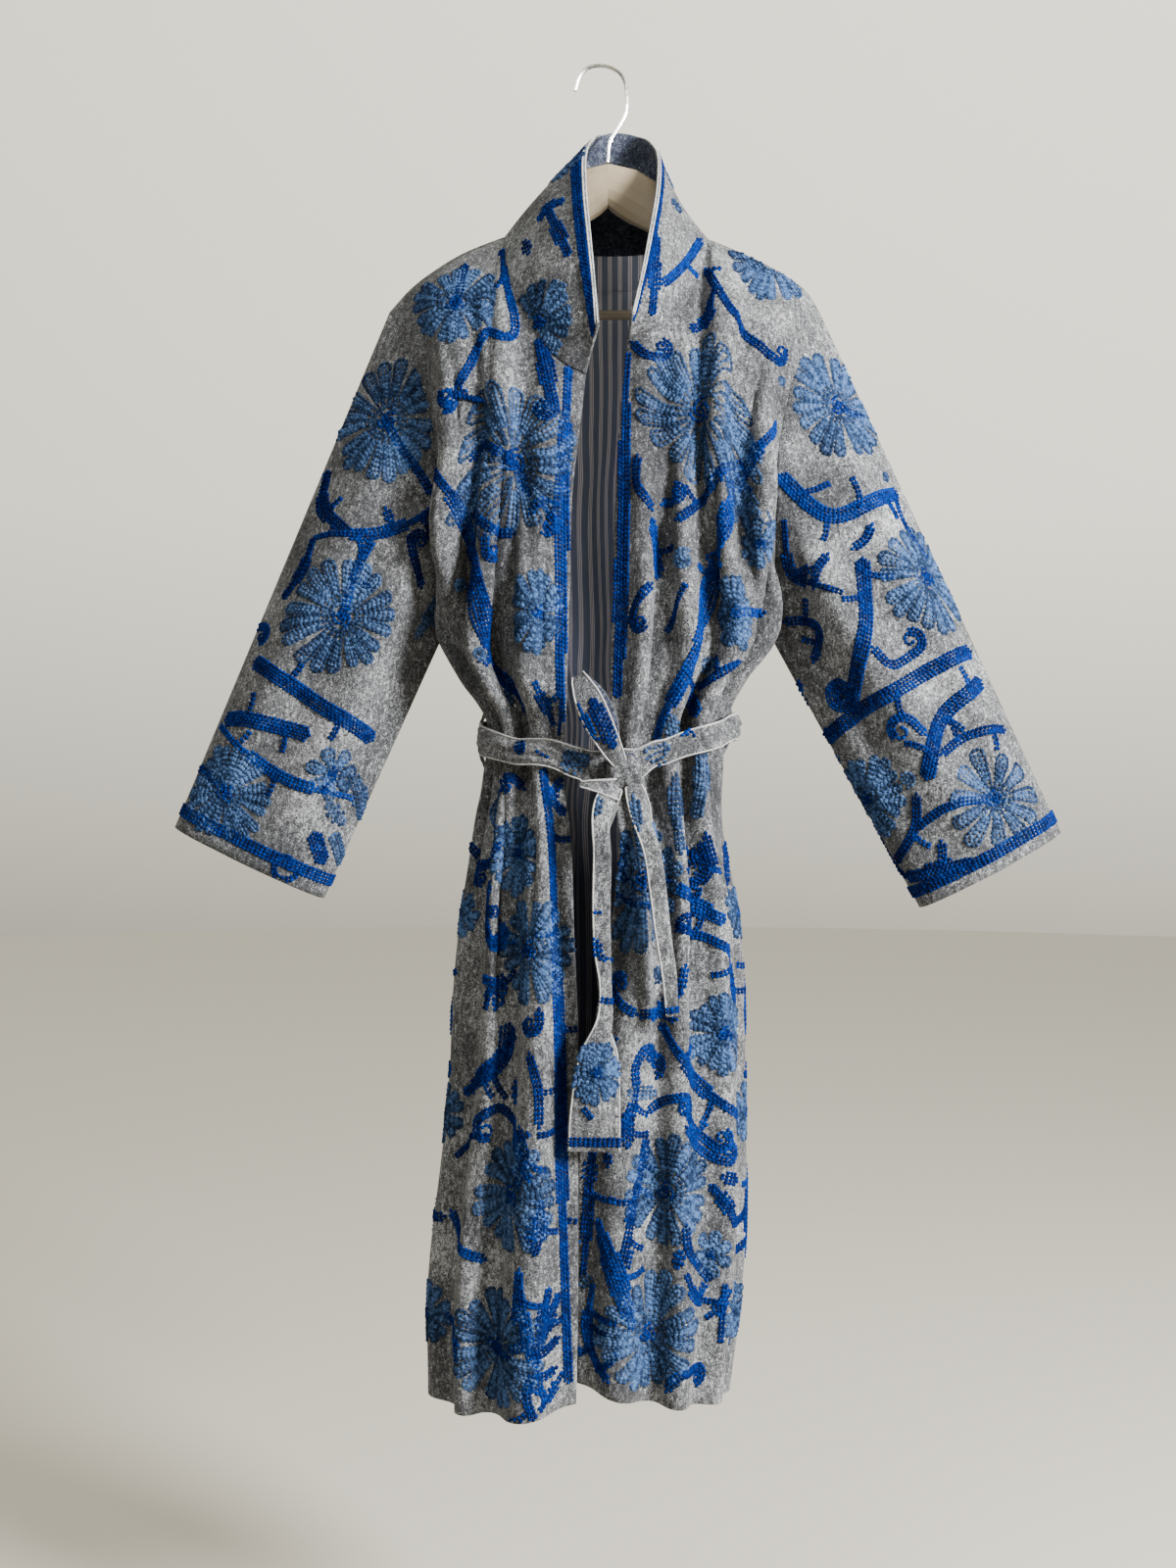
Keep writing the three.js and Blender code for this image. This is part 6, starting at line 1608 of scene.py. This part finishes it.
def carrier_piece(name, node, outward, finish):
    """A twisted thread loop at the side seam, inside the space its frame node holds."""
    low, high = (np.array(corner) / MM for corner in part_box(node))
    reach, middle = high - low, (high + low) / 2
    radius = reach[1] * 0.4
    k = np.linspace(0, 1, 28)
    bulge = np.sin(np.pi * k) ** 0.6
    inner = middle[0] - outward * (reach[0] / 2 - radius)
    path = np.stack([
        inner + outward * (reach[0] - 2 * radius) * bulge, np.full(28, middle[1]),
        high[2] - radius - (reach[2] - 2 * radius) * k,
    ], 1)
    return tube_piece(name, [path], radius * 0.9, finish, 10, 0.9)


# ---------------------------------------------------------------- the robe


def cloth_uv(points):
    """Flat metres on the cloth: across from the middle column, and down it."""
    step = np.linalg.norm(np.diff(points, axis=1), axis=2)
    across = np.concatenate([np.zeros((len(points), 1)), np.cumsum(step, 1)], 1)
    across = across - across[:, points.shape[1] // 2][:, None]
    fall = np.linalg.norm(np.diff(points[:, points.shape[1] // 2], axis=0), axis=1)
    down = np.repeat(np.r_[0, np.cumsum(fall)][:, None], points.shape[1], 1)
    return np.stack([across, down], -1) * MM


def lined_cloth(name, panel, wall, outside, reverse, inside=None):
    """A closed sheet with one finish outside and another on its reverse."""
    vertices, faces = sheet_shell(panel, wall, inside)
    rows, columns = panel["points"].shape[:2]
    uv = cloth_uv(panel["points"]).reshape(-1, 2)
    spare = np.zeros((len(vertices) - 2 * len(uv), 2))
    piece = mesh_piece(name, vertices, faces, outside, np.concatenate([uv, uv, spare]))
    if reverse:
        piece.data.materials.append(reverse)
        count = (rows - 1) * (columns if panel["closed"] else columns - 1)
        which = np.zeros(len(faces), np.int32)
        which[count:2 * count] = 1
        piece.data.polygons.foreach_set("material_index", which)
    return closed_outward(piece)


def dress():
    grey, lining, reverse, white = grey_melange(), pinstriped_lining(), shaded_reverse(), white_piping()
    cream, wire = cream_plastic(), bright_wire()
    royal = thread("royal_thread", (0.0002, 0.0014, 0.012), (0.0003, 0.0058, 0.050), (0.0006, 0.020, 0.145))
    denim = thread("denim_thread", (0.0018, 0.0038, 0.0105), (0.0088, 0.019, 0.048), (0.047, 0.092, 0.20))
    left = front_panel(FRONT_LEFT, FOLDS_LEFT, SHOULDER_LEFT, 0, LEFT_NECK, -1, CREASES_FRONT_LEFT)
    right = front_panel(
        FRONT_RIGHT, FOLDS_RIGHT, SHOULDER_RIGHT, LAST_NECK, RIGHT_NECK, 1, CREASES_FRONT_RIGHT,
    )
    back = back_panel()
    sleeve_left = sleeve_panel(left, back, 0, CUFF_LEFT, CREASES_SLEEVE_LEFT, -1)
    sleeve_right = sleeve_panel(right, back, -1, CUFF_RIGHT, CREASES_SLEEVE_RIGHT, 1)
    collar = collar_panel()
    sash = sash_panel([left, right, back])
    cut = slice(10 * FINE, 22 * FINE + 1)
    shade = {key: back[key][5:-5, cut] for key in ("points", "normals")}
    shade.update(flip=1, closed=False)
    bow, long_tail = ribbon_panel(BOW_LOOP, 18, 1), ribbon_panel(LONG_TAIL, 24, -1)
    short_tail = ribbon_panel(SHORT_TAIL, 24, -1)
    knot, corner = knot_panel(), ribbon_panel(KNOT_CORNER, 12, 1)
    plan = [
        ("front_left", left, "front_left", CLOTH_WALL, lining),
        ("front_right", right, "front_right", CLOTH_WALL, lining),
        ("back", back, "back", CLOTH_WALL, lining),
        ("sleeve_left", sleeve_left, "sleeve_left", CLOTH_WALL, lining),
        ("sleeve_right", sleeve_right, "sleeve_right", CLOTH_WALL, lining),
        ("collar", collar, "collar", CLOTH_WALL, reverse),
        ("sash_band", sash, "belt_band", BELT_WALL, None),
        ("sash_bow_loop", bow, "belt_bow_loop", BELT_WALL, reverse),
        ("sash_long_tail", long_tail, "belt_tail_long", BELT_WALL, reverse),
        ("sash_short_tail", short_tail, "belt_tail_short", BELT_WALL, reverse),
        ("sash_corner", corner, None, BELT_WALL, reverse),
    ]
    cloths, stitched, pieces = {}, {}, {}
    for name, panel, node, wall, other in plan:
        pieces[name] = lined_cloth(name + "_cloth", panel, wall, grey, other)
        ride_on_frame(pieces[name], "robe_cloth", *([node] if node else []))
        cloths[name] = Cloth(panel, wall)
        stitched[name] = Stitching(name, cloths[name])
    lining_piece = lined_cloth("back_lining", shade, LINING_WALL, lining, None, (-2.0, -3.0))
    ride_on_frame(lining_piece, "striped_lining", "lining_back")
    ride_on_frame(knot_piece(knot, grey), "robe_cloth", "belt_knot")
    stitched["sash_knot"] = Stitching("sash_knot", Cloth(knot, 0))
    for side, outward in (("left", -1), ("right", 1)):
        loop = carrier_piece("carrier_loop_" + side, "carrier_" + side, outward, grey)
        ride_on_frame(loop, "robe_cloth", "carrier_" + side)

    stitched["front_left"].motifs(FRONT_LEFT_FLOWERS, FRONT_LEFT_VINES, FRONT_LEFT_BUDS)
    stitched["front_right"].motifs(FRONT_RIGHT_FLOWERS, FRONT_RIGHT_VINES, FRONT_RIGHT_BUDS)
    for name, look in (("front_left", "left"), ("front_right", "right")):
        stitched[name].motifs(SIDE_FLOWERS, SIDE_VINES, look=look)
        stitched["back"].motifs(SIDE_BACK_FLOWERS, SIDE_BACK_VINES, look=look)
    stitched["sleeve_left"].motifs(SLEEVE_LEFT_FLOWERS, SLEEVE_LEFT_VINES)
    stitched["sleeve_left"].motifs(SLEEVE_LEFT_BACK_FLOWERS, SLEEVE_LEFT_BACK_VINES, look="behind")
    stitched["sleeve_right"].motifs(SLEEVE_RIGHT_FLOWERS, SLEEVE_RIGHT_VINES, SLEEVE_RIGHT_BUDS)
    stitched["sleeve_right"].motifs(SLEEVE_RIGHT_BACK_FLOWERS, SLEEVE_RIGHT_BACK_VINES, look="behind")
    stitched["back"].motifs(BACK_FLOWERS, BACK_VINES, BACK_BUDS, look="behind")
    stitched["collar"].motifs(COLLAR_FLOWERS, COLLAR_VINES)
    stitched["collar"].motifs(COLLAR_BACK_FLOWERS, COLLAR_BACK_VINES, look="behind")
    stitched["sash_band"].motifs(vines=SASH_VINES)
    stitched["sash_band"].motifs(vines=SASH_BACK_VINES, look="behind")
    stitched["sash_long_tail"].motifs(LONG_TAIL_FLOWERS, LONG_TAIL_VINES)
    stitched["sash_short_tail"].motifs(vines=SHORT_TAIL_VINES)
    stitched["sash_bow_loop"].motifs(vines=BOW_VINES)
    stitched["sash_knot"].motifs(vines=KNOT_VINES)
    stitched["sash_corner"].motifs(vines=CORNER_VINES)
    for name, inset, rows, c_from, c_to in (
        ("sleeve_left", 14, 4, 0, 120), ("sleeve_right", 12, 4, 0, 120), ("collar", 6, 4, 1, 38),
        ("collar", 6, 2, 38, 76),
        ("collar", 6, 2, 76, 114), ("sash_long_tail", 6, 3, 1, 23), ("sash_short_tail", 4, 2, 1, 23),
    ):
        stitched[name].round_edge(inset, rows, c_from, c_to)

    link = chain_link()
    trees = {"royal": chain_tree(royal, "royal_chain_rows"), "denim": chain_tree(denim, "denim_chain_rows")}
    sizes = {"royal": (4.1, 4.0, 5.2), "denim": (4.4, 4.3, 4.8)}
    sewn = {name: sew(stitched[name], link, trees, sizes) for name in stitched}
    bpy.data.objects.remove(link)
    for made in sewn.values():
        for piece in made:
            ride_on_frame(piece, "robe_cloth")

    edge = cloths["collar"]
    c = np.linspace(0.6, edge.columns - 0.6, 2 * edge.columns)
    row_step = np.linalg.norm(edge.slopes(c, c * 0 + edge.rows - 1)[1], axis=1)
    piping = tube_piece("collar_piping", [
        grid_line(edge, c, edge.rows, -1.0),
        grid_line(edge, c, edge.rows - COLLAR_PIPING_STEP / row_step, 0.2),
    ], COLLAR_PIPING_RADIUS, white)
    ride_on_frame(piping, "robe_cloth")
    band = cloths["sash_band"]
    c = np.linspace(0, band.columns, 2 * band.columns, endpoint=False)
    lines = [grid_line(band, c, 0.5, 0.1), grid_line(band, c, band.rows - 0.5, 0.1)]
    sash_piping = tube_piece("sash_piping", lines, PIPING_RADIUS, white, closed=True)
    ride_on_frame(sash_piping, "robe_cloth")
    ribbons = {}
    for name in ("sash_long_tail", "sash_short_tail", "sash_bow_loop", "sash_corner"):
        tail = cloths[name]
        r = np.linspace(0.4, tail.rows - 0.4, 2 * tail.rows)
        lines = [grid_line(tail, 0.6, r, 0.1), grid_line(tail, tail.columns - 0.6, r, 0.1)]
        ribbons[name] = tube_piece(name + "_piping", lines, PIPING_RADIUS, white)
        ride_on_frame(ribbons[name], "robe_cloth")

    for node, finish in (("hanger_arms", cream), ("hanger_bar", cream), ("hanger_hook", wire)):
        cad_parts[node].data.materials.clear()
        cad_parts[node].data.materials.append(finish)


def pale_floor():
    bpy.ops.mesh.primitive_circle_add(vertices=96, radius=9, fill_type="NGON", location=(0, 0, -1.62))
    floor = bpy.context.object
    floor.name = "pale_floor"
    floor.data.materials.append(floor_paint())


camera()
studio()
dress()
pale_floor()
